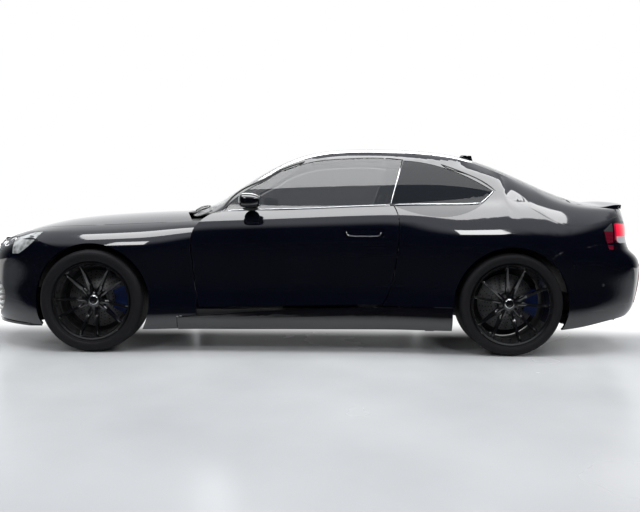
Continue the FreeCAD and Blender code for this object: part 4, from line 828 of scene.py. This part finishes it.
front_corner = Finish("headlamp_corner", (0.8, 0.8, 0.8), 0.10, 0.2, Coat_Weight=1.0)
shards = front_corner.cells(34.0)
shell = (front_corner.z - front_corner.x * 0.62 - 1.925).abs().rise(0.004, 0.020)
# Painted glints: the near-white and dark grey cells stand in for the shine of the lamp's inside behind its lens.
painted_glint_cells = shards.mix((0.16, 0.18, 0.17), (0.86, 0.88, 0.88))
framed = shell.mix((0.90, 0.91, 0.92), painted_glint_cells)
front_corner.put(Base_Color=front_corner.x.rise(-1.998, -1.992).mix(lamp_black, framed))
front_corner.put(Roughness=shards * 0.15 + 0.05)
front_corner.bump(shards, 0.5, 0.002)
rear_corner = Finish("tail_lamp_corner", (0.2, 0.01, 0.02), 0.06, Coat_Weight=1.0)
ridges = (rear_corner.z * 700.0).maths("SINE").rise(-0.2, 0.2)
inner_red = ridges.mix((0.11, 0.004, 0.012), (0.19, 0.008, 0.026))
smoked = rear_corner.z.rise(0.820, 0.826).mix(inner_red, (0.050, 0.055, 0.055))
divided = rear_corner.x.rise(2.000, 2.004).mix(smoked, (0.010, 0.003, 0.005))
hot_leg = rear_corner.x.rise(2.016, 2.020) * rear_corner.z.rise(0.738, 0.742)
rear_corner.put(Base_Color=hot_leg.mix(divided, (0.62, 0.010, 0.045)))
rear_corner.bump(rear_corner.cells(240.0), 0.05, 0.0008)
headlamp_edges = ([(-2012, 634), (-1938, 637), (-1872, 680), (-1820, 724), (-1786, 776)],
                  [(-2012, 716), (-1960, 742), (-1904, 760), (-1840, 776), (-1786, 782)])
tail_lamp_edges = ([(1932, 822), (1941, 788), (1952, 752), (1963, 714), (1975, 704), (2034, 704)],
                   [(1932, 829), (1972, 857), (2009, 884), (2034, 884)])
for hand, sign in (("left", -1), ("right", 1)):
    lamp_corner(f"headlamp_corner_{hand}", front_master, *headlamp_edges, sign, front_corner, 1.6)
    lamp_corner(f"tail_lamp_corner_{hand}", cabin_master, *tail_lamp_edges, sign, rear_corner, 5.0)

# Wheels

TURN_STEPS = 160


def lathe(name, profile, x, y, z, hand, material, steps=TURN_STEPS):
    """A ring of revolution about a line across the car, from (radius, offset outward) places."""
    work = bmesh.new()
    rings = []
    for k in range(steps):
        a = 2 * math.pi * k / steps
        rings.append([work.verts.new(((x + r * math.sin(a)) * MM, hand * (y + b) * MM, (z + r * math.cos(a)) * MM))
                      for r, b in profile])
    for k in range(steps):
        for i in range(len(profile)):
            j = (i + 1) % len(profile)
            work.faces.new((rings[k - 1][i], rings[k - 1][j], rings[k][j], rings[k][i]))
    bmesh.ops.recalc_face_normals(work, faces=work.faces)
    mesh = bpy.data.meshes.new(name)
    work.to_mesh(mesh)
    work.free()
    shade(mesh, sharp=38)
    mesh.materials.append(material.material)
    return linked(name, mesh)


tyre_curve = [
    (0.0, 0.80), (0.0, 0.86), (0.05, 0.90), (0.14, 0.935), (0.22, 0.94), (0.25, 0.965), (0.36, 0.985), (0.5, 1.0),
    (0.64, 0.995), (0.76, 0.97), (0.80, 0.955), (0.82, 0.93), (0.90, 0.895), (0.955, 0.84), (0.985, 0.765),
    (0.997, 0.70),
]
groove_places, groove_half, groove_depth = (0.46, 0.16, -0.16, -0.46), 0.035, 6.5


def tyre_profile(radius, half, rim):
    flange = rim + 2.0
    rise = [(flange + (radius - flange) * a, half * b) for a, b in tyre_curve]
    tread = []
    for place in groove_places:
        for side_of, depth in ((1, 0), (0.7, groove_depth), (-0.7, groove_depth), (-1, 0)):
            tread.append((radius - depth, half * (place + side_of * groove_half)))
    return rise + tread + [(r, -b) for r, b in reversed(rise)]


def about_wheel(made, end):
    """Distance and angle about the wheel's axis, and the distance outward from its middle."""
    x, z = axle[end]
    return (*made.polar(x * MM, z * MM), made.y.abs() - track[end] * MM)


def tyre_finish(end):
    radius, _, rim = tyre_size[end]
    made = Finish(f"tyre_rubber_{end}", (0.006, 0.006, 0.007), 0.7, Specular_IOR_Level=0.25)
    away, angle, outward = about_wheel(made, end)
    grain = made.noise(700.0, 3.0)
    on_tread = away.rise((radius - 9) * MM, (radius - 4) * MM)
    slant = (angle * (84 / (2 * math.pi)) + outward.abs() * 22.0).maths("FRACT")
    sipes = slant.within(0.06, 0.20, 0.03) * on_tread
    ribs = (away * 900.0).maths("SINE") * 0.5 * away.within((rim + 12) * MM, (rim + 26) * MM, 0.002)
    dust = made.noise(5.0, 5.0)
    made.put(Base_Color=dust.mix((0.003, 0.003, 0.004), (0.008, 0.008, 0.010)), Roughness=grain * 0.2 + 0.58)
    return made.bump(grain * 0.12 + ribs * 0.3 - sipes * 2.2, 0.6, 0.0022)


def rim_finish(end):
    made = gloss_paint(f"rim_black_{end}", (0.0055, 0.0055, 0.006))
    away, _, outward = about_wheel(made, end)
    ring = away.within(0.0265, 0.0315, 0.0006) * outward.rise(0.060, 0.064)
    barrel = away.rise(0.214, 0.222) * (1 - outward.rise(0.040, 0.060))
    made.put(Base_Color=ring.mix((0.0055, 0.0055, 0.006), (0.55, 0.56, 0.58)), Metallic=ring * 1.0)
    made.put(Roughness=barrel * 0.6 + 0.08, Coat_Weight=1 - barrel)
    return made


def disc_finish(end):
    made = Finish(f"brake_disc_{end}", (0.60, 0.60, 0.61), 0.5, 1.0)
    away, angle, _ = about_wheel(made, end)
    turned = (away * 2600.0).maths("SINE") * 0.5 + 0.5
    shaded_holes = None
    for k, radius in enumerate((0.102, 0.121, 0.140, 0.159, 0.178)):
        cell = ((angle / (2 * math.pi) * 30 + (0.21 * k)).maths("FRACT") - 0.5).abs() * (2 * math.pi * radius / 30)
        gap = (away - radius).abs()
        spot = 1 - (cell * cell + gap * gap).maths("SQRT").rise(0.0030, 0.0038)
        shaded_holes = spot if shaded_holes is None else shaded_holes.either(spot)
    face = made.noise(60.0).mix((0.55, 0.55, 0.56), (0.75, 0.75, 0.76))
    belled = (1 - away.rise(0.077, 0.079)).mix(face, (0.30, 0.30, 0.31))
    # Painted shade: the drilled holes are painted near-black for their dark insides. The same mask takes the metal
    # out of them and sinks them by bump.
    made.put(Base_Color=shaded_holes.mix(belled, (0.004, 0.004, 0.004)))
    made.put(Metallic=1 - shaded_holes, Roughness=turned * 0.08 + 0.46)
    return made.bump(turned * 0.15 - shaded_holes * 2.0, 0.4, 0.001)


def knuckle_finish(end):
    made = Finish(f"caliper_and_carrier_{end}", (0.10, 0.10, 0.10), 0.4)
    away, _, outward = about_wheel(made, end)
    caliper = away.rise(0.119, 0.121) * outward.rise(-0.084, -0.082)
    blue = caliper.mix((0.07, 0.07, 0.072), (0.008, 0.020, 0.085))
    made.put(Base_Color=blue, Roughness=0.45 - caliper * 0.27, Coat_Weight=0.4)
    return made.bump(made.noise(300.0), 0.2, 0.0006)


for end in ("front", "rear"):
    x, z = axle[end]
    radius, half, rim = tyre_size[end]
    rubber, black, iron, carrier = tyre_finish(end), rim_finish(end), disc_finish(end), knuckle_finish(end)
    for hand, sign in (("left", -1), ("right", 1)):
        tyre = lathe(f"{end}_tyre_ring_{hand}", tyre_profile(radius, half, rim), x, track[end], z, sign, rubber)
        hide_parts(f"{end}_tyre_{hand}")
        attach(tyre, f"{end}_wheel_{hand}")
        stand_in(f"{end}_rim_{hand}", black, sharp=30)
        stand_in(f"{end}_disc_{hand}", iron, sharp=30)
        if end == "front":
            stand_in(f"front_knuckle_{hand}", carrier, sharp=30)
    if end == "rear":
        stand_in("rear_knuckles", carrier, sharp=30)

# Splash shields behind the brake discs, with a rolled edge

for end in ("front", "rear"):
    x, z = axle[end]
    for hand, sign in (("left", -1), ("right", 1)):
        places = [v.co for v in nodes[f"{end}_rim_{hand}"].data.vertices]
        barrel = [math.hypot(p.x - x * MM, p.z - z * MM) for p in places if abs(p.y) < (track[end] - 60) * MM]
        edge = min(barrel) / MM - 7
        rolled = [(60, -88), (140, -88), (150, -92), (edge - 8, -92), (edge - 2, -90), (edge, -84), (edge, -78),
                  (edge - 3, -78), (edge - 4, -84), (edge - 9, -89), (148, -89), (139, -85), (60, -85)]
        if end == "front":
            rolled = [(172, -61), (edge - 8, -61), (edge - 2, -59), (edge, -53), (edge, -46), (edge - 3, -46),
                      (edge - 4, -52), (edge - 9, -58), (172, -58)]
        shield = lathe(f"{end}_splash_shield_{hand}", rolled, x, track[end], z, sign, matt_black, 96)
        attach(shield, f"steering_{hand}" if end == "front" else "body")

# Trays under the ends of the body, ribbed along the car, and the dark wall behind the grille


def tray(name, at, start, level, rise, inset):
    """A ribbed tray from a line across the car to just inside the nose or tail."""
    away = math.copysign(1, start)
    ends = at(np.full(241, level), np.linspace(-0.97, 0.97, 241))
    ends = ends[(ends[:, 0] - start) * away > 2 * inset]
    share = np.linspace(0, 1, 9)[:, None]
    x = start + (ends[:, 0] - away * inset - start) * share
    y = ends[:, 1] * 0.985 + 0 * x
    z = level + rise * np.abs(x - start) + 2.0 * np.tanh(3 * np.sin(y / 14))
    sheet(name, np.stack([x, y, z], -1), (0, 0, 4), matt_black, "body")


tray("front_undertray", nose_at, -1826.0, 178.0, 0.0, 16.0)
tray("rear_undertray", tail_at, 1708.0, 190.0, 0.14, 60.0)
levels, shares = np.meshgrid(np.linspace(182, 640, 26), np.linspace(-0.80, 0.80, 61), indexing="ij")
sheet("grille_wall", nose_at(levels, shares) + np.array([62.0, 0, 0]), (4, 0, 0), matt_black, "body")

# Door mirrors: a rounded cap on a foot, with the glass facing back

for hand, sign in (("left", -1), ("right", 1)):
    body = f"door_{hand}"
    cap = bulb(f"mirror_cap_{hand}", (-392, sign * 938, 1002), (74, 88, 51), (3.0, 2.7), gloss_black, body, 30, 56,
               bend=lambda p: [min(p[0], 0.82) - 0.14 * p[2] ** 2, p[1], p[2] * (1 - 0.16 * (p[0] + 1) / 2)])
    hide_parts(f"mirror_{hand}")
    bulb(f"mirror_foot_{hand}", (-398, sign * 860, 951), (52, 62, 17), (2.2, 2.2), satin_black, body, 20, 32)
    bulb(f"mirror_glass_{hand}", (-330, sign * 938, 1000), (4, 70, 38), (2.4, 3.0), mirror_glass, body, 20, 32)
    bulb(f"mirror_band_{hand}", (-396, sign * 938, 968), (66, 80, 7), (3.0, 2.4), satin_black, body, 16, 44)

# Bright and black trim along the windows, handles and bumper

reflector_red = Finish("reflector", (0.35, 0.03, 0.03), 0.2, Coat_Weight=1.0)
reflector_red.put(Base_Color=reflector_red.cells(300.0).mix((0.20, 0.05, 0.06), (0.55, 0.22, 0.24)))
# Name, line of (x, z) places on the flank, distance from the skin, width, depth, finish, body, lean, steps along it
flank_trim = (
    ("belt_strip", [(-560, 934), (-326, 943), (0, 955), (300, 971), (520, 981)],
     1.5, 11, 5, bright, "door", 0.3, 60),
    ("quarter_strip", [(552, 984), (700, 989), (900, 993), (1060, 997), (1122, 1001)],
     1.5, 11, 5, bright, "body", 0.3, 60),
    ("quarter_end_strip", [(1128, 1004), (1160, 1028), (1196, 1058), (1220, 1082)],
     1.5, 6, 4, bright, "body", 0.4, 60),
    ("window_seal", [(-596, 945), (-540, 1018), (-480, 1070), (-400, 1113), (-310, 1156), (-206, 1217), (-72, 1267),
                     (66, 1296), (232, 1310), (413, 1318), (628, 1306)],
     0.5, 13, 6, matt_black, "body", 0.45, 90),
    ("quarter_seal", [(640, 1304), (746, 1293), (896, 1259), (1043, 1203), (1186, 1128), (1238, 1084)],
     0.5, 9, 5, matt_black, "body", 0.45, 60),
    ("pillar_strip", [(527, 990), (560, 1100), (588, 1190), (612, 1272)],
     0.5, 6, 4, bright, "door", 0.4, 60),
    ("handle_edge", [(228, 806), (238, 786), (262, 779), (345, 777), (424, 779), (448, 786), (458, 806)],
     0.5, 6, 4, bright, "door", 0, 60),
)
# Places along the wiper, its distance left of the pivot line and its height over the windscreen
wiper_arm = ((-868, 330, 20), (-850, 200, 30), (-820, 40, 26))
wiper_blade = ((-850, 330, 12), (-842, 180, 12), (-818, -20, 12), (-790, -170, 12))
for hand, sign in (("left", -1), ("right", 1)):
    for name, line, proud, wide, deep, material, body, lean, count in flank_trim:
        strip(f"{name}_{hand}", on_side(line, sign, proud), wide, deep, material,
              f"door_{hand}" if body == "door" else body, out=(0, sign, lean), count=count)
    corner = [tail_at(np.array(z), np.array(sign * w)) + np.array([1.0, 0, 0])
              for z, w in ((600.0, 0.815), (520.0, 0.812), (430.0, 0.812), (335.0, 0.818))]
    strip(f"corner_reflector_{hand}", corner, 16, 5, reflector_red, "body", out=(0.7, sign * 0.7, 0))
    for name, line, wide, deep, count in (("wiper_arm", wiper_arm, 14, 12, 30),
                                          ("wiper_blade", wiper_blade, 10, 16, 40)):
        line = [(x, y, float(roof_top(x, y)) + h) for x, y, h in ((x, 60 + sign * y, h) for x, y, h in line)]
        strip(f"{name}_{hand}", line, wide, deep, satin_black, "body", out=(0, 0, 1), count=count)
    skirt_end = [(-878, sign * 846, z) for z in (148, 190, 236)]
    strip(f"skirt_seal_{hand}", skirt_end, 26, 8, matt_black, "body", out=(0, sign, 0), count=12)
    bulb(f"parking_sensor_{hand}_1", (1930, sign * (float(side(1930.0, 470.0)) - 1.0), 470), (10, 4, 10), (2, 2),
         satin_black, "body", 12, 24)

# Rings of like pieces by Geometry Nodes


def ring_group():
    group = bpy.data.node_groups.new("ring_of_pieces", "GeometryNodeTree")
    face = group.interface
    face.new_socket("Geometry", in_out="INPUT", socket_type="NodeSocketGeometry")
    for name, kind in (("Count", "Int"), ("Radius", "Float"), ("Start angle", "Float"), ("Finish", "Material")):
        face.new_socket(name, in_out="INPUT", socket_type="NodeSocket" + kind)
    face.new_socket("Geometry", in_out="OUTPUT", socket_type="NodeSocketGeometry")
    add = group.nodes.new
    given, made = add("NodeGroupInput"), add("NodeGroupOutput")
    circle, turn, spin = add("GeometryNodeMeshCircle"), add("GeometryNodeTransform"), add("ShaderNodeCombineXYZ")
    instance, real = add("GeometryNodeInstanceOnPoints"), add("GeometryNodeRealizeInstances")
    finish = add("GeometryNodeSetMaterial")
    for source, output, target, field in (
        (given, "Count", circle, "Vertices"), (given, "Radius", circle, "Radius"), (circle, "Mesh", turn, "Geometry"),
        (given, "Start angle", spin, "Y"), (spin, "Vector", turn, "Rotation"), (turn, "Geometry", instance, "Points"),
        (given, "Geometry", instance, "Instance"), (instance, "Instances", real, "Geometry"),
        (real, "Geometry", finish, "Geometry"), (given, "Finish", finish, "Material"),
        (finish, "Geometry", made, "Geometry"),
    ):
        group.links.new(source.outputs[output], target.inputs[field])
    spin.inputs["X"].default_value = math.pi / 2
    return group


rings = ring_group()
socket_ids = {item.name: item.identifier for item in rings.interface.items_tree if item.in_out == "INPUT"}


def ring_of(name, unit, finish, count, radius, start, place, body):
    """Copies of a unit mesh in an upright ring round a place."""
    source = linked(name + "_unit", unit)
    modifier = source.modifiers.new("ring", "NODES")
    modifier.node_group = rings
    given = {"Count": count, "Radius": radius * MM, "Start angle": start, "Finish": finish.material}
    for key, value in given.items():
        modifier[socket_ids[key]] = value
    mesh = bpy.data.meshes.new_from_object(source.evaluated_get(bpy.context.evaluated_depsgraph_get()))
    bpy.data.objects.remove(source)
    mesh.transform(Matrix.Translation(Vector(place) * MM))
    for face in mesh.polygons:
        face.use_smooth = True
    mesh.set_sharp_from_angle(angle=math.radians(30))
    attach(linked(name, mesh), body)


def bolt_mesh():
    """A hexagon head on its washer, pointing outward along Y."""
    work = bmesh.new()
    for count, radius, start, end in ((6, 0.0115, 0.002, 0.016), (24, 0.0145, 0.0, 0.003)):
        turns = [2 * math.pi * k / count for k in range(count)]
        low, high = ([work.verts.new((r * math.sin(a), place, r * math.cos(a))) for a in turns]
                     for r, place in ((radius, start), (radius * 0.86, end)))
        for k in range(count):
            work.faces.new((low[k - 1], low[k], high[k], high[k - 1]))
        work.faces.new(high)
        work.faces.new(list(reversed(low)))
    bmesh.ops.recalc_face_normals(work, faces=work.faces)
    mesh = bpy.data.meshes.new("bolt_unit")
    work.to_mesh(mesh)
    work.free()
    return mesh


for end in ("front", "rear"):
    x, z = axle[end]
    for hand, sign in (("left", -1), ("right", 1)):
        unit = bolt_mesh()
        if sign < 0:
            unit.transform(Matrix.Scale(-1, 4, (0, 1, 0)))
            unit.flip_normals()
        ring_of(f"{end}_wheel_bolts_{hand}", unit, cast, 5, 56, 0.35, (x, sign * (track[end] + 50), z),
                f"{end}_wheel_{hand}")

# Padded seats: each solid is remeshed, blown up as cloth under pressure and sewn


def loose_parts(node):
    """Each closed solid of a node as its own mesh."""
    work = bmesh.new()
    work.from_mesh(merged(node + "_copy", node))
    left, out = set(work.verts), []
    while left:
        found, todo = set(), [left.pop()]
        while todo:
            vertex = todo.pop()
            found.add(vertex)
            for edge in vertex.link_edges:
                other = edge.other_vert(vertex)
                if other in left:
                    left.remove(other)
                    todo.append(other)
        index = {vertex: k for k, vertex in enumerate(found)}
        faces = [[index[v] for v in face.verts] for face in work.faces if face.verts[0] in found]
        mesh = bpy.data.meshes.new(f"{node}_part")
        mesh.from_pydata([v.co[:] for v in found], [], faces)
        out.append(mesh)
    work.free()
    return sorted(out, key=lambda m: tuple(np.mean([v.co for v in m.vertices], axis=0).round(3)))


def applied(piece):
    """The piece's mesh with its modifiers worked out."""
    made = bpy.data.meshes.new_from_object(piece.evaluated_get(bpy.context.evaluated_depsgraph_get()))
    piece.modifiers.clear()
    piece.data = made
    return made


def places_of(mesh, field="co"):
    flat = np.empty(len(mesh.vertices) * 3)
    mesh.vertices.foreach_get(field, flat)
    return flat.reshape(-1, 3)


def normals_of(mesh):
    return places_of(mesh, "normal")


def set_places(mesh, places):
    mesh.vertices.foreach_set("co", np.ascontiguousarray(places).reshape(-1))
    mesh.update()


def pad(name, mesh, finish, sewn, shrink, voxel=0.014, cap=0.016):
    """A cushion from a closed mesh; cap is the most that its cloth moves, in metres, and sewn gives the seams."""
    piece = linked(name, mesh)
    remesh = piece.modifiers.new("remesh", "REMESH")
    remesh.mode, remesh.voxel_size, remesh.use_smooth_shade = "VOXEL", voxel, True
    mesh = applied(piece)
    start = places_of(mesh)
    low, high = start.min(0), start.max(0)
    set_places(mesh, start - normals_of(mesh) * shrink)
    start = places_of(mesh)
    cloth = piece.modifiers.new("cloth", "CLOTH")
    cloth.settings.quality = 4
    cloth.settings.use_pressure, cloth.settings.uniform_pressure_force = True, 4.0
    cloth.settings.effector_weights.gravity = 0.0
    cloth.settings.tension_stiffness = cloth.settings.compression_stiffness = 12.0
    for k in range(1, 21):
        scene.frame_set(k)
    mesh = applied(piece)
    scene.frame_set(1)
    move = places_of(mesh) - start
    length = np.linalg.norm(move, axis=1, keepdims=True)
    move = move * np.minimum(1.0, cap / np.maximum(length, 1e-9))
    set_places(mesh, start + move)
    fine = piece.modifiers.new("subdivision", "SUBSURF")
    fine.levels = fine.render_levels = 1
    mesh = applied(piece)
    places, ways = places_of(mesh), normals_of(mesh)
    share = (places - low) / (high - low)
    depth = sewn(share, places, ways)
    places = places - ways * depth[:, None] * MM
    set_places(mesh, np.clip(places, low + 0.0005, high - 0.0005))
    for face in mesh.polygons:
        face.use_smooth = True
    mesh.materials.clear()
    mesh.materials.append(finish.material)
    return piece or piece


def seam(distance, wide=7.0, deep=7.0):
    return deep * np.exp(-(distance * 1000 / wide) ** 2)


def off_middle(share, places):
    """Distance across the car from the pad's middle."""
    return (share[:, 1] - 0.5) * (places[:, 1].max() - places[:, 1].min())


def cushion_sewn(share, places, ways):
    """Channels along the seat between two side seams, on the upper face."""
    upper = np.clip(ways[:, 2] * 3 - 0.5, 0, 1)
    across_seat = off_middle(share, places)
    inner = np.abs(across_seat) < 0.165
    depth = seam(np.abs(across_seat) - 0.165)
    for k in range(-2, 3):
        depth = np.maximum(depth, seam(across_seat - 0.066 * k, 6, 5) * inner)
    dish = 12.0 * np.clip(1 - (across_seat / 0.17) ** 2, 0, 1)
    return upper * (depth + dish) + seam(places[:, 2] - np.median(places[:, 2]) + 0.01, 3, 3)


def back_sewn(share, places, ways):
    """Cross channels between the side bolsters, on the front face."""
    front = np.clip(-ways[:, 0] * 3 - 0.5, 0, 1)
    across_seat = off_middle(share, places)
    inner = np.abs(across_seat) < 0.16
    depth = seam(np.abs(across_seat) - 0.16)
    for level in (0.22, 0.34, 0.46, 0.58, 0.70):
        depth = np.maximum(depth, seam((share[:, 2] - level) * 0.62, 6, 5) * inner)
    dish = 16.0 * np.clip(1 - (across_seat / 0.165) ** 2, 0, 1)
    return front * (depth + dish)


def rest_sewn(share, places, ways):
    """Two upright seams round a headrest."""
    across_seat = off_middle(share, places)
    return seam(across_seat - 0.10, 4, 4) + seam(across_seat + 0.10, 4, 4)


def bench_sewn(share, places, ways):
    """Two places with a middle piece, each with channels."""
    face = np.clip(np.maximum(ways[:, 2], -ways[:, 0]) * 3 - 0.8, 0, 1)
    across_seat = off_middle(share, places)
    place = np.abs(np.abs(across_seat) - 0.30)
    depth = np.maximum(seam(np.abs(across_seat) - 0.09), seam(place - 0.17))
    for k in range(-2, 3):
        depth = np.maximum(depth, seam(np.abs(across_seat) - 0.30 - 0.06 * k, 6, 4) * (place < 0.17))
    return face * (depth + 10.0 * np.clip(1 - (place / 0.17) ** 2, 0, 1))


for node in ("front_seats", "rear_bench"):
    for k, mesh in enumerate(loose_parts(node)):
        places = places_of(mesh)
        size = places.max(0) - places.min(0)
        if node == "rear_bench":
            sewn = bench_sewn
        elif size[2] > 0.45:
            sewn = back_sewn
        elif size[0] > 0.4:
            sewn = cushion_sewn
        else:
            sewn = rest_sewn
        piece = pad(f"{node}_pad_{k + 1}", mesh, seat_leather, sewn, shrink=0.010 if min(size) > 0.08 else 0.006)
        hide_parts(node)
        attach(piece, "body")

# What is left of the solids gets its finish where it is

left_over = dict.fromkeys(("sills", "floor_pan", "bulkheads", "boot_floor", "chassis_rails", "seat_frames",
                           "front_subframe", "rear_subframe", "drive_shafts"), underside)
left_over.update(wheel_liners=matt_black, jacking_pads=matt_black, dashboard=soft_trim, steering_wheel=wheel_leather,
                 engine_block=cast_alloy, exhaust=steel)
for name, finish in left_over.items():
    node = nodes[name]
    node.data.materials.clear()
    node.data.materials.append(finish.material)

# Floor and backdrop


def shown(tree):
    """1 for what the camera sees itself, in a reflection or through glass."""
    rays = tree.nodes.new("ShaderNodeLightPath").outputs
    wires = [Wire(tree, rays[name]) for name in ("Is Camera Ray", "Is Glossy Ray", "Is Transmission Ray")]
    return wires[0].either(wires[1]).either(wires[2])


white = Finish("studio_floor", (0.60, 0.61, 0.62), 0.3)
patches = white.noise(0.9, 4.0)
mirrored = Wire(white.tree, white.tree.nodes.new("ShaderNodeLightPath").outputs["Is Glossy Ray"])
beside = (white.x.abs() + white.y * 0.5).rise(3.2, 4.6) * (1 - mirrored)
behind = white.y.rise(-0.35, 0.30).either(beside) * shown(white.tree)
# Painted shade: the floor goes near-black toward the camera, beyond y = -3.2 m. For glossy rays it already goes dark
# beyond y = -1.1 m, so the body's reflections of the floor come out dark.
clear_of_painted_shade = white.y.rise(-3.9, -3.2) * (1 - mirrored * (1 - white.y.rise(-2.3, -1.1)))
floor_tone_with_painted_shade = clear_of_painted_shade.mix((0.02, 0.02, 0.02), patches.mix((0.46, 0.48, 0.50), (0.66, 0.67, 0.68)))
white.put(Base_Color=behind.mix(floor_tone_with_painted_shade, (0.0, 0.0, 0.0)), Roughness=patches * 0.25 + 0.12)
white.put(Emission_Color=behind.mix((0.0, 0.0, 0.0), (1.0, 1.0, 1.0)), Emission_Strength=1.0)
white.bump(white.noise(7.0, 5.0), 0.06, 0.004)
floor_mesh = bpy.data.meshes.new("floor")
floor_mesh.from_pydata([(-20, -20, 0), (20, -20, 0), (20, 20, 0), (-20, 20, 0)], [], [(0, 1, 2, 3)])
floor_mesh.materials.append(white.material)
linked("floor", floor_mesh)

world = bpy.data.worlds.new("world")
scene.world = world
world.use_nodes = True
tree = world.node_tree
way = tree.nodes.new("ShaderNodeSeparateXYZ")
tree.links.new(tree.nodes.new("ShaderNodeTexCoord").outputs["Generated"], way.inputs[0])
ahead, above = Wire(tree, way.outputs["Y"]), Wire(tree, way.outputs["Z"])
toward_camera = above.rise(0.42, 0.75).mix((0.004, 0.005, 0.012), (0.70, 0.72, 0.78))
room = ahead.rise(0.0, 0.7).mix(toward_camera, above.rise(0.0, 0.6).mix((0.86, 0.87, 0.88), (0.50, 0.51, 0.53)))
dim = above.rise(-0.1, 0.9).mix((0.12, 0.125, 0.14), (0.42, 0.43, 0.45))
background = tree.nodes["Background"]
seen = Wire(tree, tree.nodes.new("ShaderNodeLightPath").outputs["Is Camera Ray"])
tree.links.new(seen.mix(shown(tree).mix(dim, room), (1.0, 1.0, 1.0)).socket, background.inputs["Color"])
background.inputs["Strength"].default_value = 1.0
